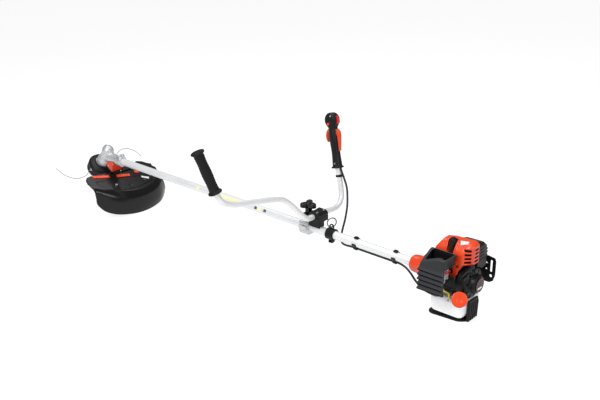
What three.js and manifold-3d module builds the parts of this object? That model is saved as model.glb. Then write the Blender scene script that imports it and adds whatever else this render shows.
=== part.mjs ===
// Brush cutter: engine, long drive tube, bevel gear case with a nylon line head, debris shield
// and a wide handlebar. Millimetres, +Z up.
// The machine is drawn lying along its drive shaft: X runs from the gear case back to the engine,
// Y points to the operator's right. It is tipped at the end so that it rests on the ground.
import * as THREE from "three";
import { mergeVertices } from "three/addons/utils/BufferGeometryUtils.js";
import Module from "manifold-3d";

const wasm = await Module();
wasm.setup();

// ---- Driving dimensions ----------------------------------------------------------------

const GAP = 0.3; // between pieces that touch
const RUN = 0.3; // radial clearance round a turning shaft

// Drive line
const TUBE_R = 14;
const TUBE_WALL = 1.5;
const TUBE_FRONT = 3;
const TUBE_REAR = 1461;
const SHAFT_R = 4;
const SHAFT_FRONT = -27;
const SHAFT_REAR = 1478;
const BUSHING_X = 700;
const BUSHING_LENGTH = 60;

// Gear case: the head axis crosses the shaft axis at AXIS_CROSSING and leans by HEAD_ANGLE
const AXIS_CROSSING = -77.5;
const HEAD_ANGLE = THREE.MathUtils.degToRad(32);
const SLEEVE_R = 20;
const SLEEVE_END = 32;
const PINION_TEETH = 13;
const GEAR_TEETH = 19;
const CONE_OUTER = 30;
const CONE_INNER = 21;
const OUTPUT_R = 5;
const CASE_FLOOR = -33;

// Trimmer head, heights along the head axis from the crossing point
const HEAD_R = 57;
const HEAD_TOP = -38.5;
const HEAD_SPLIT = -76;
const HEAD_BOTTOM = -93;
const LINE_LEVEL = -61;
const LINE_R = 1.35;

// Shield
const SHIELD_TOP = -12;
const SHIELD_RIM = -84;
const SHIELD_WALL = 3;

// Handlebar: centre of its clamp and its lean towards the head
const BAR_X = 1047;
const BAR_Z = 52;
const BAR_R = 9.5;
const BAR_WALL = 1.6;
const BAR_LEAN = THREE.MathUtils.degToRad(17);

// Throttle cable, and where the clips hold it under the tube
const CABLE_R = 3.6;
const CABLE_Y = -2;
const CABLE_Z = -19.6;

// Engine, along the shaft
const NECK_X = 1431;
const CLUTCH_REAR = 1512;
const FAN_R = 53;
const FAN_REAR = 1555;
const CASE_FRONT = 1557;
const CASE_REAR = 1614;
const BORE_X = 1585.5;
const BORE_R = 18.6;
const CRANK_THROW = 16;
const CRANK_R = 6;
const RECOIL_FRONT = 1618;
const RECOIL_REAR = 1652;
const RECOIL_R = 50;
const WALL = 2.5;

// Ground under the machine, as a line in the XZ plane
const GROUND_TILT = THREE.MathUtils.degToRad(3.14);
const groundAt = (x) => -208.47 + (x - 94) * Math.tan(GROUND_TILT);

// ---- Materials ---------------------------------------------------------------------------

function finish(color, metalness, roughness, opacity = 1) {
  return new THREE.MeshStandardMaterial({
    color, metalness, roughness, opacity, transparent: opacity < 1,
  });
}
const ALUMINIUM = finish(0xc9ccd0, 0.9, 0.35);
const CASTING = finish(0xb4b7ba, 0.8, 0.5);
const STEEL = finish(0x8d9093, 0.95, 0.35);
const BLACK = finish(0x17181a, 0, 0.5);
const RUBBER = finish(0x101011, 0, 0.85);
const ORANGE = finish(0xe8491b, 0, 0.4);
const RED = finish(0xc8201a, 0, 0.4);
const NYLON = finish(0xd6d9d4, 0, 0.4);
const TANK_WHITE = finish(0xeceef0, 0, 0.35);
const FUEL_YELLOW = finish(0xc8c02a, 0, 0.4);
const FILTER_GREY = finish(0x5b5d5c, 0, 0.9);

// ---- Solid helpers -----------------------------------------------------------------------

const vec = (x, y, z) => new THREE.Vector3(x, y, z);

function solid(geometry, matrix) {
  const g = geometry.index ? geometry.toNonIndexed() : geometry.clone();
  g.deleteAttribute("normal");
  g.deleteAttribute("uv");
  if (matrix) g.applyMatrix4(matrix);
  const merged = mergeVertices(g, 1e-3);
  const vertProperties = merged.attributes.position.array;
  const triVerts = new Uint32Array(merged.index.array);
  const make = () => new wasm.Manifold(new wasm.Mesh({ numProp: 3, vertProperties, triVerts }));
  const made = make();
  if (made.volume() > 0) return made;
  triVerts.reverse();
  return make();
}

function join(first, ...rest) {
  return rest.reduce((whole, piece) => whole.add(piece), first);
}

function cut(first, ...tools) {
  return tools.reduce((whole, tool) => whole.subtract(tool), first);
}

function common(first, ...rest) {
  return rest.reduce((whole, piece) => whole.intersect(piece), first);
}

function geometryOf(made) {
  const { vertProperties, triVerts } = made.getMesh();
  const g = new THREE.BufferGeometry();
  g.setAttribute("position", new THREE.BufferAttribute(vertProperties, 3));
  g.setIndex(new THREE.BufferAttribute(triVerts, 1));
  g.computeVertexNormals();
  return g;
}

// Matrix that stands a piece drawn up +Y along a direction, its foot at a point.
function stand(at, along) {
  const turn = new THREE.Quaternion().setFromUnitVectors(vec(0, 1, 0), along.clone().normalize());
  return new THREE.Matrix4().compose(at, turn, vec(1, 1, 1));
}

// Round piece from a profile of [radius, height] pairs.
function turned(profile, at, along, sides = 18) {
  const points = profile.map(([r, h]) => new THREE.Vector2(r, h));
  return solid(new THREE.LatheGeometry(points, sides), stand(at, along));
}

function rod(r, from, to, sides = 16) {
  const span = to.clone().sub(from);
  const length = span.length();
  return turned([[0, 0], [r, 0], [r, length], [0, length]], from, span, sides);
}

function cone(r0, r1, from, to, sides = 16) {
  const span = to.clone().sub(from);
  const length = span.length();
  return turned([[0, 0], [r0, 0], [r1, length], [0, length]], from, span, sides);
}

function hoop(inner, outer, from, to, sides = 18) {
  const span = to.clone().sub(from);
  const length = span.length();
  const profile = [[inner, 0], [outer, 0], [outer, length], [inner, length], [inner, 0]];
  return turned(profile, from, span, sides);
}

function ball(r, at, sides = 20) {
  const geometry = new THREE.SphereGeometry(r, sides, Math.round(sides / 2));
  return solid(geometry, new THREE.Matrix4().setPosition(at));
}

function block(low, high) {
  const [dx, dy, dz] = high.map((value, i) => value - low[i]);
  const [cx, cy, cz] = high.map((value, i) => (value + low[i]) / 2);
  return solid(new THREE.BoxGeometry(dx, dy, dz), new THREE.Matrix4().setPosition(cx, cy, cz));
}

function outlineShape(outline) {
  return new THREE.Shape(outline.map(([x, y]) => new THREE.Vector2(x, y)));
}

// Slab between two heights; its outline lies in the XY plane.
function slabXY(outline, z0, z1) {
  const geometry = new THREE.ExtrudeGeometry(outlineShape(outline), {
    depth: z1 - z0, bevelEnabled: false,
  });
  return solid(geometry, new THREE.Matrix4().setPosition(0, 0, z0));
}

// Slab between two Y planes; its outline is given as [x, z].
function slabXZ(outline, y0, y1) {
  const geometry = new THREE.ExtrudeGeometry(outlineShape(outline), {
    depth: y1 - y0, bevelEnabled: false,
  });
  const matrix = new THREE.Matrix4().makeRotationX(Math.PI / 2).setPosition(0, y1, 0);
  return solid(geometry, matrix);
}

// Slab between two X planes; its outline is given as [y, z].
function slabYZ(outline, x0, x1) {
  const geometry = new THREE.ExtrudeGeometry(outlineShape(outline), {
    depth: x1 - x0, bevelEnabled: false,
  });
  const matrix = new THREE.Matrix4()
    .makeBasis(vec(0, 1, 0), vec(0, 0, 1), vec(1, 0, 0))
    .setPosition(x0, 0, 0);
  return solid(geometry, matrix);
}

function roundedOutline(x0, x1, y0, y1, r, steps = 3) {
  const corners = [[x1 - r, y1 - r, 0], [x0 + r, y1 - r, 1], [x0 + r, y0 + r, 2], [x1 - r, y0 + r, 3]];
  return corners.flatMap(([cx, cy, quarter]) => {
    const points = [];
    for (let i = 0; i <= steps; i++) {
      const a = (quarter + i / steps) * Math.PI / 2;
      points.push([cx + r * Math.cos(a), cy + r * Math.sin(a)]);
    }
    return points;
  });
}

// Rod or pipe along a smooth curve through the points.
function bent(points, r, sides, steps, bore = 0) {
  const circle = (radius) => {
    const path = [];
    for (let i = 0; i < sides; i++) {
      const a = (i / sides) * 2 * Math.PI;
      path.push(new THREE.Vector2(radius * Math.cos(a), radius * Math.sin(a)));
    }
    return path;
  };
  const section = new THREE.Shape(circle(r));
  if (bore) section.holes.push(new THREE.Path(circle(bore)));
  const curve = new THREE.CatmullRomCurve3(points, false, "centripetal");
  return solid(new THREE.ExtrudeGeometry(section, { extrudePath: curve, steps, bevelEnabled: false }));
}

function node(name, made, material, group) {
  const mesh = new THREE.Mesh(geometryOf(made), material);
  mesh.name = name;
  group.add(mesh);
  return mesh;
}

const onShaft = (x) => vec(x, 0, 0);
const ROOT_X = vec(1, 0, 0);

// ---- Drive line ----------------------------------------------------------------------------

function buildDriveLine(group) {
  const tube = hoop(TUBE_R - TUBE_WALL, TUBE_R, onShaft(TUBE_FRONT), onShaft(TUBE_REAR), 32);
  const shaft = rod(SHAFT_R, onShaft(SHAFT_FRONT), onShaft(SHAFT_REAR), 16);
  const bushing = hoop(
    SHAFT_R + RUN, TUBE_R - TUBE_WALL - GAP,
    onShaft(BUSHING_X), onShaft(BUSHING_X + BUSHING_LENGTH), 20,
  );
  node("main_tube", tube, ALUMINIUM, group);
  node("drive_shaft", shaft, STEEL, group);
  node("shaft_bushing", bushing, RUBBER, group);
}

// ---- Gear case and trimmer head, drawn in the head's own frame -------------------------------
// Z is the head axis, X leans back and down from the shaft, the shaft axis is SHAFT_LINE.

const HEAD_UP = vec(0, 0, 1);
const SHAFT_LINE = vec(Math.cos(HEAD_ANGLE), 0, Math.sin(HEAD_ANGLE));
const alongShaft = (distance) => SHAFT_LINE.clone().multiplyScalar(distance);
const onHead = (height) => vec(0, 0, height);

// Bevel gear with its apex at the origin: one toothed outline, shrunk towards the apex.
function bevelGear(teeth, pitchAngle, phase, toothShare) {
  const addendum = THREE.MathUtils.degToRad(2.6);
  const dedendum = THREE.MathUtils.degToRad(4.2);
  const height = CONE_OUTER * Math.cos(pitchAngle);
  const tip = height * Math.tan(pitchAngle + addendum);
  const root = height * Math.tan(pitchAngle - dedendum);
  const pitch = (2 * Math.PI) / teeth;
  const half = (pitch * toothShare) / 2;
  const outline = [];
  for (let i = 0; i < teeth; i++) {
    const middle = phase + i * pitch;
    outline.push([root, middle - half * 1.45], [tip, middle - half * 0.55]);
    outline.push([tip, middle + half * 0.55], [root, middle + half * 1.45]);
  }
  const shrink = CONE_INNER / CONE_OUTER;
  const positions = [];
  const at = (i, scale) => {
    const [r, a] = outline[i % outline.length];
    return [r * scale * Math.cos(a), height * scale, -r * scale * Math.sin(a)];
  };
  const outerMid = [0, height, 0];
  const innerMid = [0, height * shrink, 0];
  for (let i = 0; i < outline.length; i++) {
    const [o0, o1, n0, n1] = [at(i, 1), at(i + 1, 1), at(i, shrink), at(i + 1, shrink)];
    positions.push(...outerMid, ...o0, ...o1, ...innerMid, ...n1, ...n0);
    positions.push(...n0, ...n1, ...o1, ...n0, ...o1, ...o0);
  }
  const geometry = new THREE.BufferGeometry();
  geometry.setAttribute("position", new THREE.Float32BufferAttribute(positions, 3));
  return { geometry, height };
}

const SHAFT_ANGLE = Math.PI / 2 - HEAD_ANGLE;
const PINION_PITCH = Math.atan(
  Math.sin(SHAFT_ANGLE) / (GEAR_TEETH / PINION_TEETH + Math.cos(SHAFT_ANGLE)),
);
const GEAR_PITCH = SHAFT_ANGLE - PINION_PITCH;

// Frame whose Y is the gear's axis and whose X faces the other gear's axis.
function meshFrame(axis, other) {
  const side = other.clone().addScaledVector(axis, -other.dot(axis)).normalize();
  const third = side.clone().cross(axis);
  return new THREE.Matrix4().makeBasis(side, axis, third);
}

function bevelPinion() {
  const { geometry, height } = bevelGear(PINION_TEETH, PINION_PITCH, 0, 0.44);
  const gear = solid(geometry, meshFrame(SHAFT_LINE, HEAD_UP));
  const hub = rod(7.5, alongShaft(height - 1), alongShaft(76), 16);
  const socket = rod(SHAFT_R + GAP, alongShaft(50), alongShaft(77), 16);
  return cut(join(gear, hub), socket);
}

function outputGear() {
  const { geometry, height } = bevelGear(GEAR_TEETH, GEAR_PITCH, Math.PI / GEAR_TEETH, 0.44);
  const gear = solid(geometry, meshFrame(HEAD_UP, SHAFT_LINE));
  const hub = rod(10, onHead(height - 1), onHead(34), 16);
  const bore = rod(OUTPUT_R + GAP, onHead(0), onHead(60), 20);
  return cut(join(gear, hub), bore);
}

function gearCase() {
  const body = turned([
    [0, 59], [11, 57.5], [19, 51.5], [24, 41], [24.8, 34], [24, 26], [21.7, 13],
    [23.5, 0], [29, -19], [29, CASE_FLOOR], [0, CASE_FLOOR],
  ], onHead(0), HEAD_UP, 22);
  const sleeveStart = 8;
  const sleeveEnd = SLEEVE_END - AXIS_CROSSING;
  const sleeve = turned([
    [0, sleeveStart], [SLEEVE_R + 2, sleeveStart], [SLEEVE_R + 1, 40], [SLEEVE_R - 1, 62],
    [SLEEVE_R - 1, 76], [SLEEVE_R + 1, 79], [SLEEVE_R + 1, sleeveEnd - 1.5],
    [SLEEVE_R - 0.5, sleeveEnd], [0, sleeveEnd],
  ], onHead(0), SHAFT_LINE, 24);
  const across = vec(0, 1, 0);
  const up = SHAFT_LINE.clone().cross(across);
  const earAt = alongShaft(97).addScaledVector(up, 21);
  const earSide = (y) => earAt.clone().addScaledVector(across, y);
  const ears = rod(8, earSide(-14), earSide(14), 14);
  const boltHead = rod(5, earSide(-19), earSide(-13), 6);
  const boltNut = rod(5, earSide(13), earSide(18), 6);
  const outside = join(body, sleeve, ears, boltHead, boltNut);
  const gearRoom = turned([
    [0, 45], [9.6, 45], [9.6, 37], [20, 36], [20, 22], [17, 12], [13.5, 4], [13.5, -17],
    [13.2, -17], [13.2, CASE_FLOOR - 1], [0, CASE_FLOOR - 1],
  ], onHead(0), HEAD_UP, 24);
  const pinionRoom = rod(14.3, alongShaft(12), alongShaft(46), 24);
  const bearingRoom = rod(9.5, alongShaft(45), alongShaft(82), 20);
  const socketFloor = TUBE_FRONT - AXIS_CROSSING - GAP;
  const tubeSocket = rod(TUBE_R + GAP, alongShaft(socketFloor), alongShaft(130), 24);
  return cut(outside, gearRoom, pinionRoom, bearingRoom, tubeSocket);
}

function outputShaft() {
  return turned([
    [0, 44], [OUTPUT_R, 44], [OUTPUT_R, CASE_FLOOR - 0.6], [31, CASE_FLOOR - 0.6],
    [31, HEAD_TOP + 0.9], [12, HEAD_TOP + GAP], [OUTPUT_R, HEAD_TOP + GAP], [OUTPUT_R, -70], [0, -70],
  ], onHead(0), HEAD_UP, 24);
}

function headBody() {
  const shell = turned([
    [OUTPUT_R + GAP, HEAD_TOP], [38, HEAD_TOP], [HEAD_R - 6, HEAD_TOP - 4], [HEAD_R, HEAD_TOP - 12],
    [HEAD_R, HEAD_SPLIT], [HEAD_R - 3, HEAD_SPLIT], [HEAD_R - 3, HEAD_TOP - 13],
    [HEAD_R - 9, HEAD_TOP - 7], [9.5, HEAD_TOP - 5], [9.5, -68], [OUTPUT_R + GAP, -68],
    [OUTPUT_R + GAP, HEAD_TOP],
  ], onHead(0), HEAD_UP, 24);
  const eyelets = rod(4.5, vec(0, -70, LINE_LEVEL), vec(0, 70, LINE_LEVEL), 12);
  const core = rod(20, onHead(-80), onHead(-40), 20);
  return cut(shell, cut(eyelets, core));
}

function lineSpool() {
  const inner = 10.2;
  return turned([
    [inner, -47], [45, -47], [50, -50], [44, -50.4], [44, -56], [26, -56], [26, -66], [44, -66],
    [44, -71], [50, -71.4], [50, -74], [inner, -74], [inner, -47],
  ], onHead(0), HEAD_UP, 20);
}

function headCover() {
  return turned([
    [25, HEAD_BOTTOM], [47, HEAD_BOTTOM + 1], [HEAD_R - 3, HEAD_BOTTOM + 6], [HEAD_R, HEAD_BOTTOM + 11],
    [HEAD_R, HEAD_SPLIT - GAP], [HEAD_R - 3, HEAD_SPLIT - GAP], [HEAD_R - 4, HEAD_BOTTOM + 9],
    [25, HEAD_BOTTOM + 4], [25, HEAD_BOTTOM],
  ], onHead(0), HEAD_UP, 24);
}

function bumpKnob() {
  return turned([
    [0, -107], [16, -106], [22, -103], [24, -98], [24, -84], [0, -84],
  ], onHead(0), HEAD_UP, 20);
}

// Nylon line leaving the head sideways; the points are given in the line's own level.
function nylonLine(route) {
  return bent(route.map(([x, y]) => vec(x, y, LINE_LEVEL)), LINE_R, 8, 24);
}
const LEFT_LINE = [[0, -52], [2, -68], [18, -88], [23, -124], [17, -147], [-12, -175], [-58, -189]];
const RIGHT_LINE = [
  [0, 52], [-4, 68], [-30, 98], [-48, 132], [-48, 160], [-33, 182], [-8, 196], [16, 197],
];

// Fold between the shield's top and its skirt, and the skirt's rim, seen along the head axis.
const SHIELD_FOLD = [
  [131, -147], [158, -107], [182, -62], [200, -15], [210, 35], [208, 85], [194, 133], [166, 172],
];
const SHIELD_EDGE = [
  [168, -143], [194, -122], [227, -85], [248, -31], [258, 25], [256, 82], [240, 143], [203, 195],
];
const SHIELD_FRONT = [
  [150, 177], [132, 174], [122, 178], [108, 168], [98, 172], [88, 156], [72, 140], [62, 118], [72, 74],
  [83, 20], [77, -19], [68, -67], [61, -118], [82, -158],
];

// Skirt as a wall lofted from the fold down to the rim.
function skirt() {
  const smooth = (points, count) =>
    new THREE.CatmullRomCurve3(points.map(([x, y]) => vec(x, y, 0))).getPoints(count);
  const count = 22;
  const fold = smooth(SHIELD_FOLD, count);
  const edge = smooth(SHIELD_EDGE, count);
  const middle = fold.map((p, i) => p.clone().lerp(edge[i], 0.62));
  const inward = (p) => p.clone().add(vec(-p.x, -p.y, 0).normalize().multiplyScalar(SHIELD_WALL));
  const levels = [SHIELD_TOP, SHIELD_TOP - 24, SHIELD_RIM];
  const sections = fold.map((p, i) => {
    const outer = [p, middle[i], edge[i]];
    const ringOuter = outer.map((q, k) => vec(q.x, q.y, levels[k]));
    const ringInner = outer.map((q, k) => inward(q).setZ(levels[k])).reverse();
    return [...ringOuter, ...ringInner];
  });
  return loft(sections);
}

// Closed solid through a run of matching section loops.
function loft(sections) {
  const positions = [];
  const triangle = (a, b, c) => positions.push(...a.toArray(), ...b.toArray(), ...c.toArray());
  const size = sections[0].length;
  for (let i = 0; i + 1 < sections.length; i++) {
    for (let k = 0; k < size; k++) {
      const [a, b] = [sections[i][k], sections[i][(k + 1) % size]];
      const [c, d] = [sections[i + 1][k], sections[i + 1][(k + 1) % size]];
      triangle(a, b, d);
      triangle(a, d, c);
    }
  }
  const cap = (loop, flip) => {
    const pairs = size / 2;
    for (let k = 0; k + 1 < pairs; k++) {
      const quad = [loop[k], loop[k + 1], loop[size - 2 - k], loop[size - 1 - k]];
      if (flip) quad.reverse();
      triangle(quad[0], quad[2], quad[1]);
      triangle(quad[0], quad[3], quad[2]);
    }
  };
  cap(sections[0], false);
  cap(sections[sections.length - 1], true);
  const geometry = new THREE.BufferGeometry();
  geometry.setAttribute("position", new THREE.Float32BufferAttribute(positions, 3));
  return solid(geometry);
}

const SHIELD_WINDOWS = [
  [[63, -113], [78, -116], [100, -48], [85, -44]],
  [[94, -13], [109, -17], [125, 41], [110, 45]],
  [[100, 71], [117, 68], [123, 88], [107, 92]],
];

function shield() {
  const fold = new THREE.CatmullRomCurve3(SHIELD_FOLD.map(([x, y]) => vec(x, y, 0)))
    .getPoints(22).map((p) => [p.x, p.y]);
  const top = slabXY([...fold, ...SHIELD_FRONT], SHIELD_TOP - SHIELD_WALL, SHIELD_TOP);
  const windows = SHIELD_WINDOWS.map((w) => slabXY(w, SHIELD_TOP - 10, SHIELD_TOP + 10));
  const boltPad = rod(5, vec(142, -45, SHIELD_TOP - 1), vec(142, -45, SHIELD_TOP + 3.5), 6);
  return cut(join(top, skirt(), boltPad), ...windows);
}

function shieldInsert() {
  const low = SHIELD_TOP - SHIELD_WALL - GAP;
  const base = slabXY([
    [66, -119], [86, -122], [112, -42], [132, 40], [134, 95], [98, 98], [96, 66], [100, 48], [88, -12],
    [78, -42],
  ], low - 2, low);
  const raised = SHIELD_WINDOWS.map((w) => {
    const centre = w.reduce((s, [x, y]) => [s[0] + x / 4, s[1] + y / 4], [0, 0]);
    const inset = w.map(([x, y]) => [
      x + (centre[0] - x) * 0.12, y + (centre[1] - y) * 0.06,
    ]);
    return slabXY(inset, low - 1, SHIELD_TOP + 2.5);
  });
  return join(base, ...raised);
}

// Mount that carries the shield under the gear case's clamp sleeve.
function shieldMount() {
  const side = [[36, -9.5], [36, 8], [60, 30], [74, 30], [84, -9.5]];
  const body = slabXZ(side, -27, 30);
  const tongue = block([60, -20, SHIELD_TOP + GAP], [90, 16, -8]);
  const caseRoom = rod(30, onHead(-40), onHead(60), 32);
  const sleeveRoom = rod(SLEEVE_R + 2.5, alongShaft(0), alongShaft(140), 32);
  return cut(join(body, tongue), caseRoom, sleeveRoom);
}

// Knife inside the left end of the skirt that trims the line.
function lineCutter() {
  const polar = (r, degrees) => {
    const a = THREE.MathUtils.degToRad(degrees);
    return [r * Math.cos(a), r * Math.sin(a)];
  };
  return slabXY([polar(204, -41), polar(208.5, -41), polar(213, -34), polar(208, -34)], -68, -50);
}

function buildHead(group) {
  node("gear_case", gearCase(), CASTING, group);
  node("bevel_pinion", bevelPinion(), STEEL, group);
  node("output_gear", outputGear(), STEEL, group);
  node("output_shaft", outputShaft(), STEEL, group);
  node("head_body", headBody(), BLACK, group);
  node("line_spool", lineSpool(), BLACK, group);
  node("head_cover", headCover(), BLACK, group);
  node("bump_knob", bumpKnob(), BLACK, group);
  node("nylon_line_left", nylonLine(LEFT_LINE), NYLON, group);
  node("nylon_line_right", nylonLine(RIGHT_LINE), NYLON, group);
  node("shield", shield(), BLACK, group);
  node("shield_insert", shieldInsert(), ORANGE, group);
  node("shield_mount", shieldMount(), ORANGE, group);
  node("line_cutter", lineCutter(), STEEL, group);
}

// ---- Handlebar and controls ------------------------------------------------------------------
// The bar bends in one leaning plane: a point of it is given as [sideways, up the plane].

const barPoint = (y, up) => vec(
  BAR_X - up * Math.sin(BAR_LEAN), y, BAR_Z + up * Math.cos(BAR_LEAN),
);
const BAR_ROUTE = [
  [-437.5, 316], [-424, 257], [-412.5, 207], [-394, 164], [-360, 145], [-262, 124], [-170, 104],
  [-138, 92], [-108, 64], [-76, 24], [-54, 4], [-34, 0], [34, 0], [82, -5], [114, 0], [136, 20],
  [146, 60], [150, 108], [160, 176], [169.2, 236],
];
const LEFT_GRIP = { low: [-410, 196], high: [-441, 332] };
const RIGHT_GRIP = { low: [151.5, 121], high: [172.5, 257] };

function handlebar() {
  const route = BAR_ROUTE.map(([y, up]) => barPoint(y, up));
  return bent(route, BAR_R, 8, 36, BAR_R - BAR_WALL);
}

function gripFrame(grip) {
  const low = barPoint(...grip.low);
  const high = barPoint(...grip.high);
  const up = high.clone().sub(low).normalize();
  return { low, high, up, length: high.distanceTo(low) };
}

function barRoom(grip, reach) {
  const { low, up } = gripFrame(grip);
  return rod(BAR_R + 1.1, low.clone().addScaledVector(up, -20), low.clone().addScaledVector(up, reach));
}

function leftGrip() {
  const { low, up, length } = gripFrame(LEFT_GRIP);
  const profile = [
    [0, 0], [21, 0], [22.5, 3], [21, 6], [16.5, 9], [15.5, length * 0.3], [17, length * 0.5],
    [15.5, length * 0.75], [16.5, length - 9], [21, length - 6], [22, length - 3],
    [20, length], [0, length],
  ];
  return cut(turned(profile, low, up, 18), barRoom(LEFT_GRIP, length - 4));
}

// Frame of the throttle grip: up the grip, towards the cutting head, and across to the left.
function throttleFrame() {
  const { low, high, up, length } = gripFrame(RIGHT_GRIP);
  const ahead = vec(-Math.cos(BAR_LEAN), 0, -Math.sin(BAR_LEAN));
  const left = up.clone().cross(ahead).normalize();
  const at = (forward, across, height) => low.clone()
    .addScaledVector(ahead, forward)
    .addScaledVector(left, across)
    .addScaledVector(up, height);
  const matrix = new THREE.Matrix4().makeBasis(ahead, left, up).setPosition(low);
  return { low, high, up, length, at, matrix };
}

const THUMB_END = 165; // height of the round thumb end's centre
const LEVER_HALF = 6; // half the width of each lever and of the switch

// Points on the line that the throttle lock's button slides along.
const lockAt = (across) => throttleFrame().at(4, across, 152);

// Slab drawn in the throttle grip's own side view: outline [forward, height], thickness across.
function controlSlab(outline, across0, across1) {
  const { matrix } = throttleFrame();
  const geometry = new THREE.ExtrudeGeometry(outlineShape(outline), {
    depth: across1 - across0, bevelEnabled: false,
  });
  const side = new THREE.Matrix4()
    .makeBasis(vec(1, 0, 0), vec(0, 0, 1), vec(0, -1, 0))
    .setPosition(0, across1, 0);
  return solid(geometry, matrix.clone().multiply(side));
}

function throttleGrip() {
  const { low, at, up } = throttleFrame();
  const body = turned([
    [0, 0], [20, 0], [21.5, 3], [20, 6], [17, 9], [15.5, 40], [16.5, 70], [16.5, 100],
    [18, THUMB_END - 20], [0, THUMB_END - 20],
  ], low, up, 18);
  const thumbEnd = (r, half) => rod(r, at(0, -half, THUMB_END), at(0, half, THUMB_END), 20);
  const room = barRoom(RIGHT_GRIP, 122);
  const leverRoom = LEVER_HALF + 0.5;
  const triggerRoom = controlSlab([[6, 78], [40, 78], [40, 140], [6, 140]], -leverRoom, leverRoom);
  const lockoutRoom = controlSlab(
    [[-40, 46], [-12.6, 46], [-12.6, 136], [-40, 136]], -leverRoom, leverRoom,
  );
  const switchRoom = controlSlab(
    [[-40, 150.6], [-19, 150.6], [-19, 184], [-40, 184]], -leverRoom, leverRoom,
  );
  const lockRoom = rod(5.3, lockAt(8), lockAt(30));
  const cableRoom = rod(CABLE_R + 0.6, at(-13.5, 0, -2), at(-13.5, 0, 12), 12);
  const eye = hoop(2, 4, at(17, -2.5, -3), at(17, 2.5, -3), 12);
  const whole = join(cut(body, cableRoom), thumbEnd(22.5, 17), thumbEnd(26, 12));
  return join(cut(whole, room, triggerRoom, lockoutRoom, switchRoom, lockRoom), eye);
}

function throttleTrigger() {
  return controlSlab([
    [11, 137], [19, 137], [28, 128], [33, 114], [32, 102], [27, 91], [22.5, 92], [25, 103], [25, 114],
    [20, 124], [11, 128],
  ], -LEVER_HALF, LEVER_HALF);
}

function lockoutLever() {
  return controlSlab([
    [-14, 133], [-20, 133], [-28, 124], [-29, 108], [-25, 84], [-21, 58], [-18, 58],
    [-18.5, 84], [-18, 108], [-14, 118],
  ], -LEVER_HALF, LEVER_HALF);
}

function stopSwitch() {
  return controlSlab([
    [-29, 154], [-26, 151], [-19.4, 151], [-19.4, 178], [-26, 178], [-29, 175],
  ], -LEVER_HALF, LEVER_HALF);
}

function throttleLock() {
  return rod(5, lockAt(12.4), lockAt(21.5));
}

function controlCable() {
  const { at } = throttleFrame();
  const route = [
    at(-13.5, 0, 10), at(-14, 0, -6), at(-19, -1, -28), vec(1058, 143, 112), vec(1069, 134, 82),
    vec(1081, 118, 54), vec(1094, 92, 22), vec(1107, 60, -8), vec(1122, 34, -25), vec(1146, 12, -27),
    vec(1172, -1, -22), vec(1196, CABLE_Y, CABLE_Z), vec(1228, CABLE_Y, CABLE_Z),
    vec(1352, CABLE_Y, CABLE_Z), vec(1384, CABLE_Y, CABLE_Z), vec(1408, -4, -24),
    vec(1432, -10, -34), vec(1462, -28, -42), vec(1500, -50, -46), vec(1545, -70, -42),
    vec(1582, -86, -30), vec(1597, -92, -10), vec(1597, -92, 21.4),
  ];
  return bent(route, CABLE_R, 8, 48);
}

function cableClip(x) {
  const lug = block([x - 8, -6, TUBE_R - 1], [x + 8, 6, TUBE_R + 7]);
  const band = hoop(TUBE_R + GAP, TUBE_R + 2.6, onShaft(x - 12), onShaft(x + 12), 28);
  const eye = rod(7, vec(x - 9, CABLE_Y, CABLE_Z), vec(x + 9, CABLE_Y, CABLE_Z), 14);
  const room = rod(CABLE_R + 0.9, vec(x - 20, CABLE_Y, CABLE_Z), vec(x + 20, CABLE_Y, CABLE_Z), 10);
  const tube = rod(TUBE_R + GAP, onShaft(x - 30), onShaft(x + 30), 28);
  return cut(join(band, lug, eye), room, tube);
}

const CLAMP_SPAN = [984, 1022];
const KNOB_X = 1009;

function handleClamp() {
  const [x0, x1] = CLAMP_SPAN;
  const band = slabYZ(roundedOutline(-21, 21, -25, 22, 9), x0, x1);
  const boss = rod(13, vec(KNOB_X, 0, 18), vec(KNOB_X, 0, 34), 20);
  const lugs = block([x0 + 3, -27, -7], [x1 - 3, 27, 7]);
  const tube = rod(TUBE_R + GAP, onShaft(x0 - 5), onShaft(x1 + 5), 32);
  const bolts = [-23, 23].map((y) => rod(3.8, vec(KNOB_X - 5, y, -11), vec(KNOB_X - 5, y, 10), 6));
  return cut(join(band, boss, lugs), tube, ...bolts);
}

// Black base behind the clamp: a pedestal on the tube with the lower half of the bar's seat.
function handleBase() {
  const pedestal = block([1022.3, -14, 11], [1066, 14, 36]);
  const seat = block([1029, -25, 34], [1074, 25, BAR_Z - 1]);
  const tube = rod(TUBE_R + GAP, onShaft(960), onShaft(1100), 32);
  const bar = rod(BAR_R + 0.7, vec(BAR_X, -45, BAR_Z), vec(BAR_X, 45, BAR_Z), 16);
  return cut(join(pedestal, seat), tube, bar);
}

function handleCap() {
  const side = [
    [1029, BAR_Z + 0.4], [1074, BAR_Z + 0.4], [1074, 60], [1065, 69], [1036, 69], [1024, 50],
    [995, 50], [995, 42], [1024, 42],
  ];
  const body = slabXZ(side, -25, 25);
  const bar = rod(BAR_R + 0.7, vec(BAR_X, -45, BAR_Z), vec(BAR_X, 45, BAR_Z), 16);
  const bolts = [-17, 17].map((y) => rod(4.5, vec(1060, y, 60), vec(1060, y, 74), 6));
  const stud = rod(4.3, vec(KNOB_X, 0, 20), vec(KNOB_X, 0, 80), 16);
  return cut(join(body, ...bolts), bar, stud);
}

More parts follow.
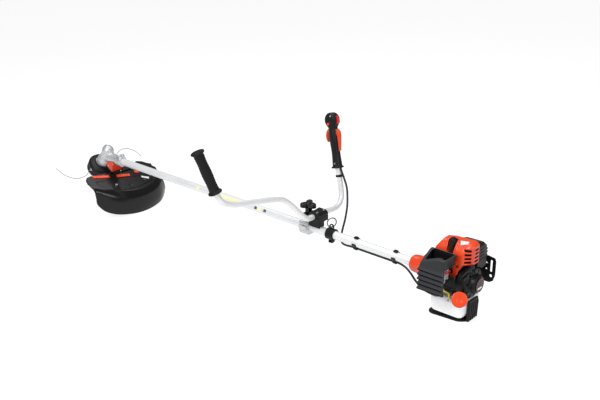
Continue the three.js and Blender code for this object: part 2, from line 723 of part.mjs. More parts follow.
function clampKnob() {
  const lobes = 3;
  const outline = [];
  const steps = 36;
  for (let i = 0; i < steps; i++) {
    const a = (i / steps) * 2 * Math.PI;
    const r = 22 + 8.5 * Math.cos(lobes * a);
    outline.push([KNOB_X + r * Math.cos(a), r * Math.sin(a)]);
  }
  const wings = slabXY(outline, 71, 87);
  const hub = rod(12, vec(KNOB_X, 0, 50.4), vec(KNOB_X, 0, 72), 20);
  const cap = rod(10, vec(KNOB_X, 0, 86), vec(KNOB_X, 0, 91), 20);
  const stud = rod(4, vec(KNOB_X, 0, 34.4), vec(KNOB_X, 0, 55), 16);
  return join(wings, hub, cap, stud);
}

const HANGER_X = 1109;
const EYE_Z = 27; // centre of the eye that the ring hangs from
const RING_R = 16;
const RING_TURN = THREE.MathUtils.degToRad(-30); // how far the ring is turned out of the YZ plane

function hangerClamp() {
  const band = hoop(TUBE_R + GAP, 20, onShaft(HANGER_X - 15), onShaft(HANGER_X + 15), 28);
  const post = block([HANGER_X - 5, -2.5, 17], [HANGER_X + 5, 2.5, EYE_Z - 6.5]);
  const foot = block([HANGER_X - 8, -7, -30], [HANGER_X + 8, 7, -17]);
  const bolt = rod(4, vec(HANGER_X, -13, -24), vec(HANGER_X, 13, -24), 6);
  const eye = hoop(5.5, 9.5, vec(HANGER_X, -2.5, EYE_Z), vec(HANGER_X, 2.5, EYE_Z), 20);
  const tube = rod(TUBE_R + GAP, onShaft(HANGER_X - 30), onShaft(HANGER_X + 30), 28);
  return cut(join(band, post, foot, bolt, eye), tube);
}

// Round ring threaded through the hanger's eye.
function hangerRing() {
  const ring = new THREE.TorusGeometry(RING_R, 2.2, 8, 20).rotateY(Math.PI / 2).rotateZ(RING_TURN);
  const turn = new THREE.Matrix4().setPosition(HANGER_X, 0, EYE_Z + RING_R - 1.5);
  return solid(ring, turn);
}

function buildHandle(group) {
  node("handle_clamp", handleClamp(), ALUMINIUM, group);
  node("handle_base", handleBase(), BLACK, group);
  node("handle_cap", handleCap(), BLACK, group);
  node("clamp_knob", clampKnob(), BLACK, group);
  node("handlebar", handlebar(), ALUMINIUM, group);
  node("left_grip", leftGrip(), RUBBER, group);
  node("throttle_grip", throttleGrip(), BLACK, group);
  node("throttle_trigger", throttleTrigger(), ORANGE, group);
  node("lockout_lever", lockoutLever(), ORANGE, group);
  node("stop_switch", stopSwitch(), RED, group);
  node("throttle_lock", throttleLock(), ORANGE, group);
  node("control_cable", controlCable(), RUBBER, group);
  node("cable_clip_front", cableClip(1212), BLACK, group);
  node("cable_clip_rear", cableClip(1368), BLACK, group);
  node("hanger_clamp", hangerClamp(), BLACK, group);
  node("hanger_ring", hangerRing(), STEEL, group);
}

// ---- Engine ---------------------------------------------------------------------------------

function clutchHousing() {
  return turned([
    [TUBE_R + GAP, NECK_X], [21, NECK_X], [26, NECK_X + 5], [28, 1446], [29.5, 1462], [33, 1473],
    [46, 1486], [FAN_R, 1496], [FAN_R, CLUTCH_REAR], [46, CLUTCH_REAR], [46, 1493], [44, 1479],
    [13, 1477], [9.5, 1474], [9.5, TUBE_REAR + GAP], [TUBE_R + GAP, TUBE_REAR + GAP],
    [TUBE_R + GAP, NECK_X],
  ], onShaft(0), ROOT_X, 22);
}

function clutchDrum() {
  return turned([
    [SHAFT_R + GAP, 1465], [7.5, 1465], [7.5, 1480.5], [41, 1481.5], [41, 1506], [38.4, 1506],
    [38.4, 1484.5], [SHAFT_R + GAP, 1484], [SHAFT_R + GAP, 1465],
  ], onShaft(0), ROOT_X, 20);
}

function clutchShoes() {
  const disc = hoop(CRANK_R + GAP, 37.4, onShaft(1487), onShaft(1504), 32);
  const slots = [-1, 1].map((side) => join(
    block([1480, side > 0 ? 10 : -24, -14], [1510, side > 0 ? 24 : -10, 14]),
    block([1480, side * 22 - 2, side > 0 ? -40 : -10], [1510, side * 22 + 2, side > 0 ? 10 : 40]),
  ));
  return cut(disc, ...slots);
}

function fanHousing() {
  return turned([
    [24, CLUTCH_REAR + GAP], [FAN_R, CLUTCH_REAR + GAP], [FAN_R, FAN_REAR], [FAN_R - 3, FAN_REAR],
    [FAN_R - 3, CLUTCH_REAR + 3.5], [24, CLUTCH_REAR + 3.5], [24, CLUTCH_REAR + GAP],
  ], onShaft(0), ROOT_X, 22);
}

function flywheel() {
  const disc = rod(38, onShaft(1522), onShaft(1544), 24);
  const rim = rod(47, onShaft(1522), onShaft(1525), 24);
  const blades = [];
  const count = 10;
  for (let i = 0; i < count; i++) {
    const a = (i / count) * 2 * Math.PI;
    const turn = new THREE.Matrix4().makeRotationX(a);
    const blade = new THREE.BoxGeometry(14, 10, 2.2).translate(1531, 42, 0).applyMatrix4(turn);
    blades.push(solid(blade));
  }
  const bore = rod(CRANK_R + GAP, onShaft(1500), onShaft(1560), 20);
  const lightening = hoop(16, 32, onShaft(1530), onShaft(1550), 20);
  return cut(join(disc, rim, ...blades), bore, lightening);
}

function crankcase() {
  const outer = slabYZ(roundedOutline(-33, 33, -35, 34, 8), CASE_FRONT, CASE_REAR);
  const room = rod(26.5, onShaft(CASE_FRONT + 6), onShaft(CASE_REAR - 6), 32);
  const bores = rod(CRANK_R + RUN, onShaft(CASE_FRONT - 5), onShaft(CASE_REAR + 5), 20);
  const deckBore = rod(BORE_R + 0.5, vec(BORE_X, 0, 0), vec(BORE_X, 0, 40), 28);
  return cut(outer, room, bores, deckBore);
}

function crankshaft() {
  const journals = [[1486, BORE_X - 13], [BORE_X + 13, 1627]].map(
    ([x0, x1]) => rod(CRANK_R, onShaft(x0), onShaft(x1), 20),
  );
  const web = roundedOutline(-15, 15, -22, 20, 7, 2);
  const webs = [[BORE_X - 14, BORE_X - 7], [BORE_X + 7, BORE_X + 14]].map(
    ([x0, x1]) => slabYZ(web, x0, x1),
  );
  const pin = rod(5, vec(BORE_X - 9, 0, CRANK_THROW), vec(BORE_X + 9, 0, CRANK_THROW), 18);
  const cup = rod(15, onShaft(1621), onShaft(1626), 24);
  return join(...journals, ...webs, pin, cup);
}

const PLUG_FOOT = vec(BORE_X, -9, 98);
const PLUG_LINE = vec(0, -0.42, 0.907).normalize();
const DECK = 34 + GAP;
const CYLINDER_TOP = 108;

function cylinder() {
  const profile = [[0, DECK], [29, DECK], [29, DECK + 5], [24, DECK + 5]];
  for (let z = DECK + 10; z < CYLINDER_TOP - 10; z += 14) {
    profile.push([24, z], [32, z], [32, z + 3], [24, z + 3]);
  }
  profile.push([24, CYLINDER_TOP - 6], [18, CYLINDER_TOP], [0, CYLINDER_TOP]);
  const body = turned(profile, vec(BORE_X, 0, 0), vec(0, 0, 1), 18);
  const bore = turned([
    [0, DECK - 1], [BORE_R, DECK - 1], [BORE_R, 97], [12, 101], [0, 101],
  ], vec(BORE_X, 0, 0), vec(0, 0, 1), 18);
  const intake = block([BORE_X - 11, -33, 54], [BORE_X + 11, -20, 74]);
  const exhaust = block([BORE_X - 13, 20, 50], [BORE_X + 13, 36, 74]);
  const ports = join(
    rod(7, vec(BORE_X, -50, 64), vec(BORE_X, -10, 64), 16),
    rod(8, vec(BORE_X, 10, 62), vec(BORE_X, 50, 62), 16),
  );
  const plugSeat = rod(6.3, PLUG_FOOT, PLUG_FOOT.clone().addScaledVector(PLUG_LINE, 30), 16);
  return cut(join(body, intake, exhaust), bore, ports, plugSeat);
}

function piston() {
  const crown = turned([
    [0, 74], [BORE_R - RUN, 74], [BORE_R - RUN, 96], [0, 96],
  ], vec(BORE_X, 0, 0), vec(0, 0, 1), 28);
  const skirtRoom = rod(15.5, vec(BORE_X, 0, 70), vec(BORE_X, 0, 91), 24);
  const pin = rod(4, vec(BORE_X, -17, 82), vec(BORE_X, 17, 82), 14);
  const stub = block([BORE_X - 4, -5, 57], [BORE_X + 4, 5, 82]);
  return join(cut(crown, skirtRoom), pin, stub);
}

const BOOT_TOP = vec(BORE_X - 1, -22, 126);
const BOOT_LOW = vec(BORE_X + 1, -42, 100);
const LEAD_END = vec(BORE_X + 16, -35, 70);

function sparkPlug() {
  return turned([
    [0, 1], [5.9, 1], [5.9, 14], [9, 14], [9, 19], [5, 20], [4, 30], [0, 30],
  ], PLUG_FOOT, PLUG_LINE, 18);
}

function plugBoot() {
  const body = join(
    ball(10.5, BOOT_TOP, 12),
    cone(10, 7, BOOT_TOP, BOOT_LOW, 12),
    ball(7, BOOT_LOW, 10),
    bent([BOOT_LOW, vec(BORE_X + 4, -41, 92), vec(BORE_X + 10, -37, 82), LEAD_END], 3.4, 8, 6),
  );
  const room = turned([
    [0, 0], [9.4, 0], [9.4, 19.6], [5.4, 20.6], [4.4, 30.6], [0, 30.6],
  ], PLUG_FOOT, PLUG_LINE, 18);
  return cut(body, room);
}

// Shroud shapes are the common part of a side view, a plan and an end view.
function shroud(side, plan, end, y0, y1) {
  return common(slabXZ(side, y0, y1), slabXY(plan, -60, 160), slabYZ(end, 1500, 1700));
}

function engineCover() {
  const bottom = 4;
  const rearBottom = 67;
  const right = 10;
  const form = (t) => {
    const past = t ? 2 : 0;
    const [low, rearLow, edge] = [bottom - past, rearBottom - past, right + past];
    const side = [
      [1516 + t, low], [1516 + t, 74], [1549 + t, 124 - t], [1576, 130 - t], [1640, 134 - t],
      [1657 - t, 126 - t], [1657 - t, rearLow], [1632, rearLow], [1619, 44], [1612, 24], [1608, low],
    ];
    const plan = [
      [1516 + t, edge], [1516 + t, -24], [1536 + t, -45 + t], [1628 - t / 2, -45 + t],
      [1657 - t, -18 + t / 2], [1657 - t, edge],
    ];
    const end = [[-45 + t, low], [-45 + t, 96 - t / 2], [-22, 131 - t], [edge, 138 - t], [edge, low]];
    return shroud(side, plan, end, -60, edge);
  };
  const bootRooms = [0, 1, 2].map((step) => {
    const shift = vec(0, -7, 6).multiplyScalar(step);
    const [high, low] = [BOOT_TOP.clone().add(shift), BOOT_LOW.clone().add(shift)];
    return join(ball(14.5, high, 10), cone(14.5, 11.5, high, low, 10), ball(11.5, low, 10));
  });
  const leadRoom = rod(5, BOOT_LOW, vec(BORE_X + 12, -38, 78), 12);
  const intakeRoom = block([BORE_X - 14, -60, 30], [BORE_X + 14, -30, 78]);
  const fanRoom = rod(FAN_R + 1.5, onShaft(1500), onShaft(1560), 22);
  const reelRoom = rod(RECOIL_R + 1, onShaft(1610), onShaft(1700), 28);
  const slots = [];
  for (let i = 0; i < 4; i++) {
    const z = 76 + i * 12;
    const slot = new THREE.BoxGeometry(20, 30, 6);
    slots.push(solid(slot, new THREE.Matrix4().makeRotationZ(Math.PI / 4).setPosition(1643, -33, z)));
    slots.push(block([1650, -8, z - 3], [1662, 6, z + 3]));
  }
  return cut(form(0), form(WALL), intakeRoom, fanRoom, reelRoom, leadRoom, ...bootRooms, ...slots);
}

function mufflerCover() {
  const form = (t) => {
    const past = t ? 2 : 0;
    const [low, edge] = [36 - past, 10 + GAP - past];
    const side = [
      [1558 + t, low], [1558 + t, 94], [1582, 117 - t], [1638, 124 - t], [1655 - t, 112],
      [1655 - t, low],
    ];
    const plan = [
      [1558 + t, edge], [1558 + t, 72], [1572, 87 - t], [1630, 87 - t], [1648 - t, 72], [1655 - t, 44],
      [1655 - t, edge],
    ];
    const end = [
      [edge, low], [edge, 128 - t], [30, 125 - t], [58, 113 - t], [79 - t, 92], [87 - t, 66],
      [87 - t, low],
    ];
    return shroud(side, plan, end, edge, 100);
  };
  const slots = [0, 1, 2].map((i) => block([1585 + i * 14, 80, 66], [1592 + i * 14, 95, 80]));
  const finRoom = rod(34, vec(BORE_X, 0, 20), vec(BORE_X, 0, 112), 24);
  const reelRoom = rod(RECOIL_R + 1, onShaft(1610), onShaft(1700), 28);
  return cut(form(0), form(WALL), finRoom, reelRoom, ...slots);
}

function muffler() {
  const box = slabXZ(roundedOutline(1566, 1636, 38, 90, 9), 42, 76);
  const flange = block([BORE_X - 14, 36.4, 48], [BORE_X + 14, 44, 76]);
  const outlet = hoop(4, 7, vec(1635, 60, 50), vec(1644, 60, 50), 16);
  const hollow = rod(4, vec(1626, 60, 50), vec(1650, 60, 50), 16);
  const gasPort = rod(8, vec(BORE_X, 30, 62), vec(BORE_X, 60, 62), 16);
  return cut(join(box, flange, outlet), hollow, gasPort);
}

// Slotted guard plate outboard of the muffler, carried from the crankcase's right side.
function mufflerGuard() {
  const plate = slabXZ([
    [1588, -20], [1600, -34], [1650, -34], [1662, -26], [1668, -6], [1668, 40], [1664, 50],
    [1640, 54], [1588, 34],
  ], 93, 96);
  const arm = block([1588, 33.4, -24], [1600, 95, -18]);
  const wall = block([1588, 33.4, -30], [1600, 36.4, 10]);
  const web = block([1588, 60, -20], [1600, 94, -10]);
  const slots = [
    slabXZ(roundedOutline(1650, 1657, 2, 42, 3, 2), 80, 110),
    slabXZ(roundedOutline(1649, 1658, -16, -6, 4, 2), 80, 110),
    slabXZ(roundedOutline(1634, 1640, 26, 32, 2.5, 1), 80, 110),
    slabXZ(roundedOutline(1634, 1640, 6, 12, 2.5, 1), 80, 110),
    slabXZ(roundedOutline(1620, 1626, 14, 24, 2.5, 1), 80, 110),
  ];
  return cut(join(plate, arm, wall, web), ...slots);
}

function carburettor() {
  const body = slabXZ(roundedOutline(1574, 1600, 22, 56, 5), -96, -66);
  const bowl = rod(11, vec(1587, -81, 14), vec(1587, -81, 23), 20);
  const stub = slabXZ(roundedOutline(BORE_X - 10, BORE_X + 10, 54, 74, 4), -47, -33.4);
  const runner = bent([vec(BORE_X + 1, -68, 42), vec(BORE_X, -56, 50), vec(BORE_X, -44, 62)], 9, 12, 6);
  const screws = [30, 48].map((z) => rod(3, vec(1600, -74, z), vec(1604, -74, z), 8));
  const throttleArm = block([1599, -92, 36], [1603, -70, 42]);
  const bore = rod(6, vec(BORE_X, -50, 64), vec(BORE_X, -30, 64), 14);
  return cut(join(body, bowl, stub, runner, ...screws, throttleArm), bore);
}

function chokeLever() {
  const arm = block([1604.4, -90, 49], [1607, -66, 54]);
  const pivot = rod(3, vec(1600.4, -87, 51.5), vec(1607, -87, 51.5), 12);
  return join(arm, pivot);
}

function airFilter() {
  return slabXZ(roundedOutline(1537, 1572, -8, 64, 5), -106, -62);
}

function ribbedBox() {
  const [x0, x1, y0, y1, z0, z1] = [1530, 1616, -116, -50, -14, 101];
  const outer = slabXY(roundedOutline(x0, x1, y0, y1, 4, 2), z0, z1);
  const ribs = [];
  for (let i = 0; i < 5; i++) {
    const z = z0 + 6 + i * 15.5;
    const tooth = (wall) => [
      [wall + 1, z - 5], [wall - 3.5, z], [wall - 3.5, z + 2], [wall + 1, z + 8],
    ];
    ribs.push(slabYZ(tooth(y0), x0 + 2, x1 - 6));
    ribs.push(slabXZ(tooth(x0), y0 + 2, y1 - 6));
  }
  const inner = block([x0 + WALL, y0 + WALL, z0 + WALL], [x1 - WALL, y1 - WALL, z1 - WALL]);
  const rear = block([x1 - 6, y0 + WALL, z0 + WALL], [x1 + 6, y1 - WALL, 70]);
  const top = slabXY(roundedOutline(x0 + 12, x1 - 6, y0 + 12, y1 - 4, 4, 2), 90, 130);
  const corner = slantedCorner(x0, y0, y1, z1);
  const innerSide = block([1562, y1 - 6, 28], [x1 + 6, y1 + 5, 84]);
  const fanRoom = rod(FAN_R + 1, onShaft(1500), onShaft(1560), 22);
  const floorOpen = block([1577, y0 + 8, z0 - 5], [x1 + 6, y1 - 8, z0 + 5]);
  return cut(join(outer, ...ribs), inner, rear, top, corner, innerSide, floorOpen, fanRoom);
}

// Wedge that slopes the top down to the front outer corner.
function slantedCorner(x0, y0, y1, z1) {
  const high = z1 + 30;
  const points = [[x0 - 8, y0 - 8], [x0 + 78, y0 - 8], [x0 - 8, y1 + 4]];
  const lows = [z1 - 36, z1, z1];
  const low = points.map(([x, y], i) => vec(x, y, lows[i]));
  const up = points.map(([x, y]) => vec(x, y, high));
  const positions = [];
  const tri = (a, b, c) => positions.push(...a.toArray(), ...b.toArray(), ...c.toArray());
  tri(low[0], low[2], low[1]);
  tri(up[0], up[1], up[2]);
  for (let i = 0; i < 3; i++) {
    const j = (i + 1) % 3;
    tri(low[i], low[j], up[j]);
    tri(low[i], up[j], up[i]);
  }
  const geometry = new THREE.BufferGeometry();
  geometry.setAttribute("position", new THREE.Float32BufferAttribute(positions, 3));
  return solid(geometry);
}

function airCleanerKnob() {
  const at = vec(1580, -82, 0);
  const lift = (z) => at.clone().setZ(z);
  const grip = rod(11, lift(74), lift(88), 6);
  const flange = rod(13, lift(72), lift(76), 20);
  const screw = rod(3, lift(56.3), lift(73), 12);
  return join(grip, flange, screw);
}

const HANDLE_SEAT = vec(1647, -40.5, 53.5);
const PULL_LINE = vec(0, -0.92, 0.38).normalize();
const BAR_LINE = vec(0.58, 0.311, 0.752).normalize();
const ROPE_DRUM_R = 27;

function recoilHousing() {
  const profile = [
    [RECOIL_R - 3, RECOIL_FRONT], [RECOIL_R, RECOIL_FRONT], [RECOIL_R, 1644], [44, RECOIL_REAR],
    [31, RECOIL_REAR], [29, 1662], [24, 1669], [0, 1669], [0, 1664], [21, 1664], [25, 1650],
    [42, 1648], [RECOIL_R - 3, 1641], [RECOIL_R - 3, RECOIL_FRONT],
  ];
  const cup = turned(profile, onShaft(0), ROOT_X, 24);
  const post = rod(5, onShaft(1640), onShaft(1666), 16);
  const guide = rod(7, HANDLE_SEAT.clone().addScaledVector(PULL_LINE, -18),
    HANDLE_SEAT.clone().addScaledVector(PULL_LINE, -7.4), 18);
  const ropeRoom = rod(2.6, HANDLE_SEAT.clone().addScaledVector(PULL_LINE, -60), HANDLE_SEAT, 12);
  const cavity = rod(40, onShaft(1620), onShaft(1647), 32);
  const slots = [];
  for (let i = 0; i < 5; i++) {
    const a = (i / 5) * 2 * Math.PI + 2.9;
    const slot = new THREE.BoxGeometry(20, 5, 10).translate(1650, 0, 38)
      .applyMatrix4(new THREE.Matrix4().makeRotationX(a));
    slots.push(solid(slot));
  }
  return cut(join(cup, post, cut(guide, cavity)), ropeRoom, ...slots);
}

function starterReel() {
  return turned([
    [5.4, 1630], [36, 1630], [36, 1632], [ROPE_DRUM_R - 2.4, 1632.5], [ROPE_DRUM_R - 2.4, 1643],
    [5.4, 1643], [5.4, 1630],
  ], onShaft(0), ROOT_X, 22);
}

function starterHandle() {
  const half = 27;
  const low = HANDLE_SEAT.clone().addScaledVector(BAR_LINE, -half);
  const high = HANDLE_SEAT.clone().addScaledVector(BAR_LINE, half);
  const bar = turned([
    [0, 0], [4.5, 0.5], [7, 4], [6, 17], [6.6, 27], [6, 37], [7, 50], [4.5, 53.5], [0, 54],
  ], low, high.clone().sub(low), 14);
  const collar = rod(5.5, HANDLE_SEAT, HANDLE_SEAT.clone().addScaledVector(PULL_LINE, -6.8), 16);
  const rope = rod(1.9, HANDLE_SEAT, HANDLE_SEAT.clone().addScaledVector(PULL_LINE, -52), 8);
  return join(bar, collar, rope);
}

const CAP_LINE = vec(0.45, -0.75, 0.48).normalize();
const CAP_FACE = vec(1652, -81, -22);
const CAP_R = 24;
const CAP_DEPTH = 17;
const capAt = (depth) => CAP_FACE.clone().addScaledVector(CAP_LINE, -depth);

function fuelTank() {
  const side = [
    [1528, -94], [1536, -106], [1548, -112], [1628, -112], [1640, -106], [1646, -92], [1646, -60],
    [1632, -44], [1540, -42], [1528, -54],
  ];
  const plan = roundedOutline(1527, 1648, -55, 62, 24, 4);
  const end = roundedOutline(-55, 62, -113, -42, 24, 4);
  const capRoom = rod(CAP_R + 1.2, capAt(CAP_DEPTH + 0.6), capAt(-10), 24);
  const body = common(slabXZ(side, -60, 64), slabXY(plan, -120, -30), slabYZ(end, 1500, 1680));
  const form = cut(body, capRoom);
  const neck = rod(17, capAt(50), capAt(5), 24);
  const roundRooms = (extra) => join(
    rod(RECOIL_R + 3 + extra, onShaft(1612 - extra), onShaft(1700), 28),
    rod(FAN_R + 3 + extra, onShaft(1500), onShaft(1558 + extra), 28),
  );
  const inside = common(
    slabXY(roundedOutline(1532, 1643, -50, 57, 19, 4), -108, -58),
    slabYZ(roundedOutline(-50, 57, -108, -46, 19, 3), 1500, 1680),
  );
  const mouth = rod(14, capAt(66), capAt(0), 20);
  const hoseHole = rod(3.6, vec(1596, -48, -52), vec(1596, -48, -30), 12);
  const outside = cut(join(form, neck), roundRooms(0));
  return cut(outside, cut(inside, roundRooms(3)), mouth, hoseHole);
}

function fuelCap() {
  const shell = turned([
    [0, 0], [CAP_R - 3, 0], [CAP_R, 3], [CAP_R, CAP_DEPTH], [18, CAP_DEPTH], [18, 4.5], [13, 4.5],
    [13, 14], [0, 14],
  ].map(([r, h]) => [r, -h]), CAP_FACE, CAP_LINE, 22);
  const grips = [];
  for (let i = 0; i < 8; i++) {
    const a = (i / 8) * 2 * Math.PI;
    const notch = new THREE.CylinderGeometry(2, 2, CAP_DEPTH + 4, 6)
      .translate((CAP_R + 0.9) * Math.cos(a), -CAP_DEPTH / 2, (CAP_R + 0.9) * Math.sin(a));
    grips.push(solid(notch, stand(CAP_FACE, CAP_LINE)));
  }
  return cut(shell, ...grips);
}

function fuelHose() {
  return bent([
    vec(1596, -48, -50), vec(1596, -48, -36), vec(1597, -60, -26), vec(1595, -76, -14),
    vec(1588, -81, 0), vec(1588, -81, 13.3),
  ], 2.8, 8, 18);
}

function tankStand() {
  const [x0, x1, half] = [1513, 1652, 38];
  const base = slabXZ([
    [x0, groundAt(x0)], [x1, groundAt(x1)], [x1, groundAt(x1) + 5], [x0, groundAt(x0) + 5],
  ], -half, half);
  const corners = slabXY(roundedOutline(x0, x1, -half, half, 24, 4), -140, -40);
  const upright = slabXZ([
    [x1 - 6, groundAt(x1) + 1], [x1, groundAt(x1) + 1], [x1 + 3, -52], [x1 - 3, -52],
  ], -24, 26);
  const ribs = [-20, -9, 2, 13, 24].map((y) => slabXZ([
    [x1 - 8, groundAt(x1) + 1], [x1 + 4, groundAt(x1) + 4], [x1 + 6, -66], [x1 - 3, -54],
  ], y - 2, y + 2));
  const props = [1550, 1625].map((x) => block([x - 6, -30, groundAt(x) + 3], [x + 6, 30, -113.3]));
  const frontLeg = block([x0, 6, groundAt(x0) + 2], [x0 + 5, 24, -58]);
  const shelf = block([1500, 6, -62.4], [x0 + 5, 24, -57.8]);
  return join(common(base, corners), upright, ...ribs, ...props, frontLeg, shelf);
}

function buildEngine(group) {
  node("clutch_housing", clutchHousing(), ORANGE, group);
  node("clutch_drum", clutchDrum(), STEEL, group);
  node("clutch_shoes", clutchShoes(), STEEL, group);
  node("fan_housing", fanHousing(), BLACK, group);
  node("flywheel", flywheel(), CASTING, group);
  node("crankcase", crankcase(), BLACK, group);
  node("crankshaft", crankshaft(), STEEL, group);
  node("cylinder", cylinder(), CASTING, group);
  node("piston", piston(), ALUMINIUM, group);
  node("spark_plug", sparkPlug(), STEEL, group);
  node("plug_boot", plugBoot(), RUBBER, group);
  node("engine_cover", engineCover(), ORANGE, group);
  node("muffler", muffler(), STEEL, group);
  node("muffler_cover", mufflerCover(), BLACK, group);
  node("muffler_guard", mufflerGuard(), BLACK, group);
  node("carburettor", carburettor(), CASTING, group);
  node("choke_lever", chokeLever(), RED, group);
  node("air_filter", airFilter(), FILTER_GREY, group);
  node("air_cleaner_cover", ribbedBox(), BLACK, group);
  node("air_cleaner_knob", airCleanerKnob(), BLACK, group);
  node("recoil_housing", recoilHousing(), BLACK, group);
  node("starter_reel", starterReel(), BLACK, group);
  node("starter_handle", starterHandle(), BLACK, group);
  node("fuel_tank", fuelTank(), TANK_WHITE, group);
  node("fuel_cap", fuelCap(), ORANGE, group);
  node("fuel_hose", fuelHose(), FUEL_YELLOW, group);
  node("tank_stand", tankStand(), BLACK, group);
}

// ---- Whole machine ----------------------------------------------------------------------------

const CORD_NODES = ["nylon_line_left", "nylon_line_right"];

// Shift the machine so that its base lies on Z = 0 under the origin, cords left out.
function settle(root, machine) {
  root.updateMatrixWorld(true);
  const bounds = new THREE.Box3();
  root.traverse((piece) => {
    if (piece.isMesh && !CORD_NODES.includes(piece.name)) bounds.expandByObject(piece, true);
  });
  const centre = bounds.getCenter(vec(0, 0, 0));
  machine.position.sub(vec(centre.x, centre.y, bounds.min.z));
  root.updateMatrixWorld(true);
}

const root = new THREE.Group();
root.name = "brush_cutter";
const machine = new THREE.Group();
machine.name = "machine";
machine.rotation.y = GROUND_TILT;
const cuttingHead = new THREE.Group();
cuttingHead.name = "cutting_head";
cuttingHead.position.set(AXIS_CROSSING, 0, 0);
cuttingHead.rotation.y = HEAD_ANGLE;
machine.add(cuttingHead);
root.add(machine);
buildDriveLine(machine);
buildHead(cuttingHead);
buildHandle(machine);
buildEngine(machine);
settle(root, machine);

export default root;
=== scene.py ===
# Brush cutter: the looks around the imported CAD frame.
# Shapes are drawn in millimetres in the machine's own frame, as the CAD source draws them: X runs back
# along the drive shaft to the engine, Y to the operator's right, and the machine is tipped on the ground.
import math

import bmesh
import bpy
import numpy as np
from mathutils import Matrix, Vector


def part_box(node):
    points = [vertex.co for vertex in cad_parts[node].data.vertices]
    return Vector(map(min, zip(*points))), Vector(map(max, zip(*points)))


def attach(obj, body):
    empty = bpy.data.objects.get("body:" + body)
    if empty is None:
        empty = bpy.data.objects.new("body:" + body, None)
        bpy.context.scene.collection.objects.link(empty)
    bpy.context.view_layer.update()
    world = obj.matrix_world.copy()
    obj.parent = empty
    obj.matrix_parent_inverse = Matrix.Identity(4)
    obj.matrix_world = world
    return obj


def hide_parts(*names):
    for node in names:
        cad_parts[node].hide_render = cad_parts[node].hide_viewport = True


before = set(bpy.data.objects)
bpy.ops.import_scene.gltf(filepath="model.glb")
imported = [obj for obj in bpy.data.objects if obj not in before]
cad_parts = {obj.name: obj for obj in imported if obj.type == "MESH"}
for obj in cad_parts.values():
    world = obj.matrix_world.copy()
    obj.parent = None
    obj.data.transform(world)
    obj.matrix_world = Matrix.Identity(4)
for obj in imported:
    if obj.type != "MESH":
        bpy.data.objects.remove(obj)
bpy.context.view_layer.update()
SCENE = bpy.context.scene.collection

# ---- Frames ----

MM = 0.001
GROUND_TILT = math.radians(3.14)
HEAD_ANGLE = math.radians(32)
AXIS_CROSSING = -77.5
TUBE_R = 14
TUBE_BORE_R = 12.5
TUBE_FRONT = 3
TUBE_REAR = 1461


def machine_frame():
    """Matrix from machine millimetres to row metres, found from where the drive tube lies."""
    low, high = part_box("main_tube")
    c, s = math.cos(GROUND_TILT), math.sin(GROUND_TILT)
    x = low.x / MM - TUBE_FRONT * c + TUBE_R * s
    z = low.z / MM + TUBE_REAR * s + TUBE_R * c
    y = (low.y + high.y) / 2 / MM
    turn = Matrix.Rotation(GROUND_TILT, 4, "Y")
    return Matrix.Scale(MM, 4) @ Matrix.Translation((x, y, z)) @ turn


MACHINE = machine_frame()
HEAD = MACHINE @ Matrix.Translation((AXIS_CROSSING, 0, 0)) @ Matrix.Rotation(HEAD_ANGLE, 4, "Y")
SHAFT_LINE = Vector((math.cos(HEAD_ANGLE), 0, math.sin(HEAD_ANGLE)))
SHAFT_UP = Vector((-SHAFT_LINE.z, 0, SHAFT_LINE.x))
CLAMP_EAR = SHAFT_LINE * 97 + SHAFT_UP * 21
UP = Vector((0, 0, 1))
BACK = Vector((1, 0, 0))


# ---- Materials ----

def new_material(name, color, roughness, metallic=0.0):
    mat = bpy.data.materials.new(name)
    mat.use_nodes = True
    shader = mat.node_tree.nodes["Principled BSDF"]
    shader.inputs["Base Color"].default_value = (*color, 1)
    shader.inputs["Roughness"].default_value = roughness
    shader.inputs["Metallic"].default_value = metallic
    return mat, mat.node_tree.nodes, mat.node_tree.links, shader


def noise(nodes, links, scale, detail=3.0, stretch=(1, 1, 1)):
    where = nodes.new("ShaderNodeTexCoord")
    mapping = nodes.new("ShaderNodeMapping")
    mapping.inputs["Scale"].default_value = stretch
    texture = nodes.new("ShaderNodeTexNoise")
    texture.inputs["Scale"].default_value = scale
    texture.inputs["Detail"].default_value = detail
    links.new(where.outputs["Object"], mapping.inputs["Vector"])
    links.new(mapping.outputs["Vector"], texture.inputs["Vector"])
    return texture.outputs["Fac"]


def ramp(nodes, links, source, low, high, start=0.3, end=0.7):
    """Colour ramp between two colours or greys, driven by a 0 to 1 source."""
    made = nodes.new("ShaderNodeValToRGB")
    elements = made.color_ramp.elements
    elements[0].position, elements[1].position = start, end
    elements[0].color = (*low, 1) if isinstance(low, tuple) else (low, low, low, 1)
    elements[1].color = (*high, 1) if isinstance(high, tuple) else (high, high, high, 1)
    links.new(source, made.inputs["Fac"])
    return made.outputs["Color"]


def bump(nodes, links, shader, source, strength, distance):
    made = nodes.new("ShaderNodeBump")
    made.inputs["Strength"].default_value = strength
    made.inputs["Distance"].default_value = distance
    links.new(source, made.inputs["Height"])
    links.new(made.outputs["Normal"], shader.inputs["Normal"])


BROAD_SCALE = 14


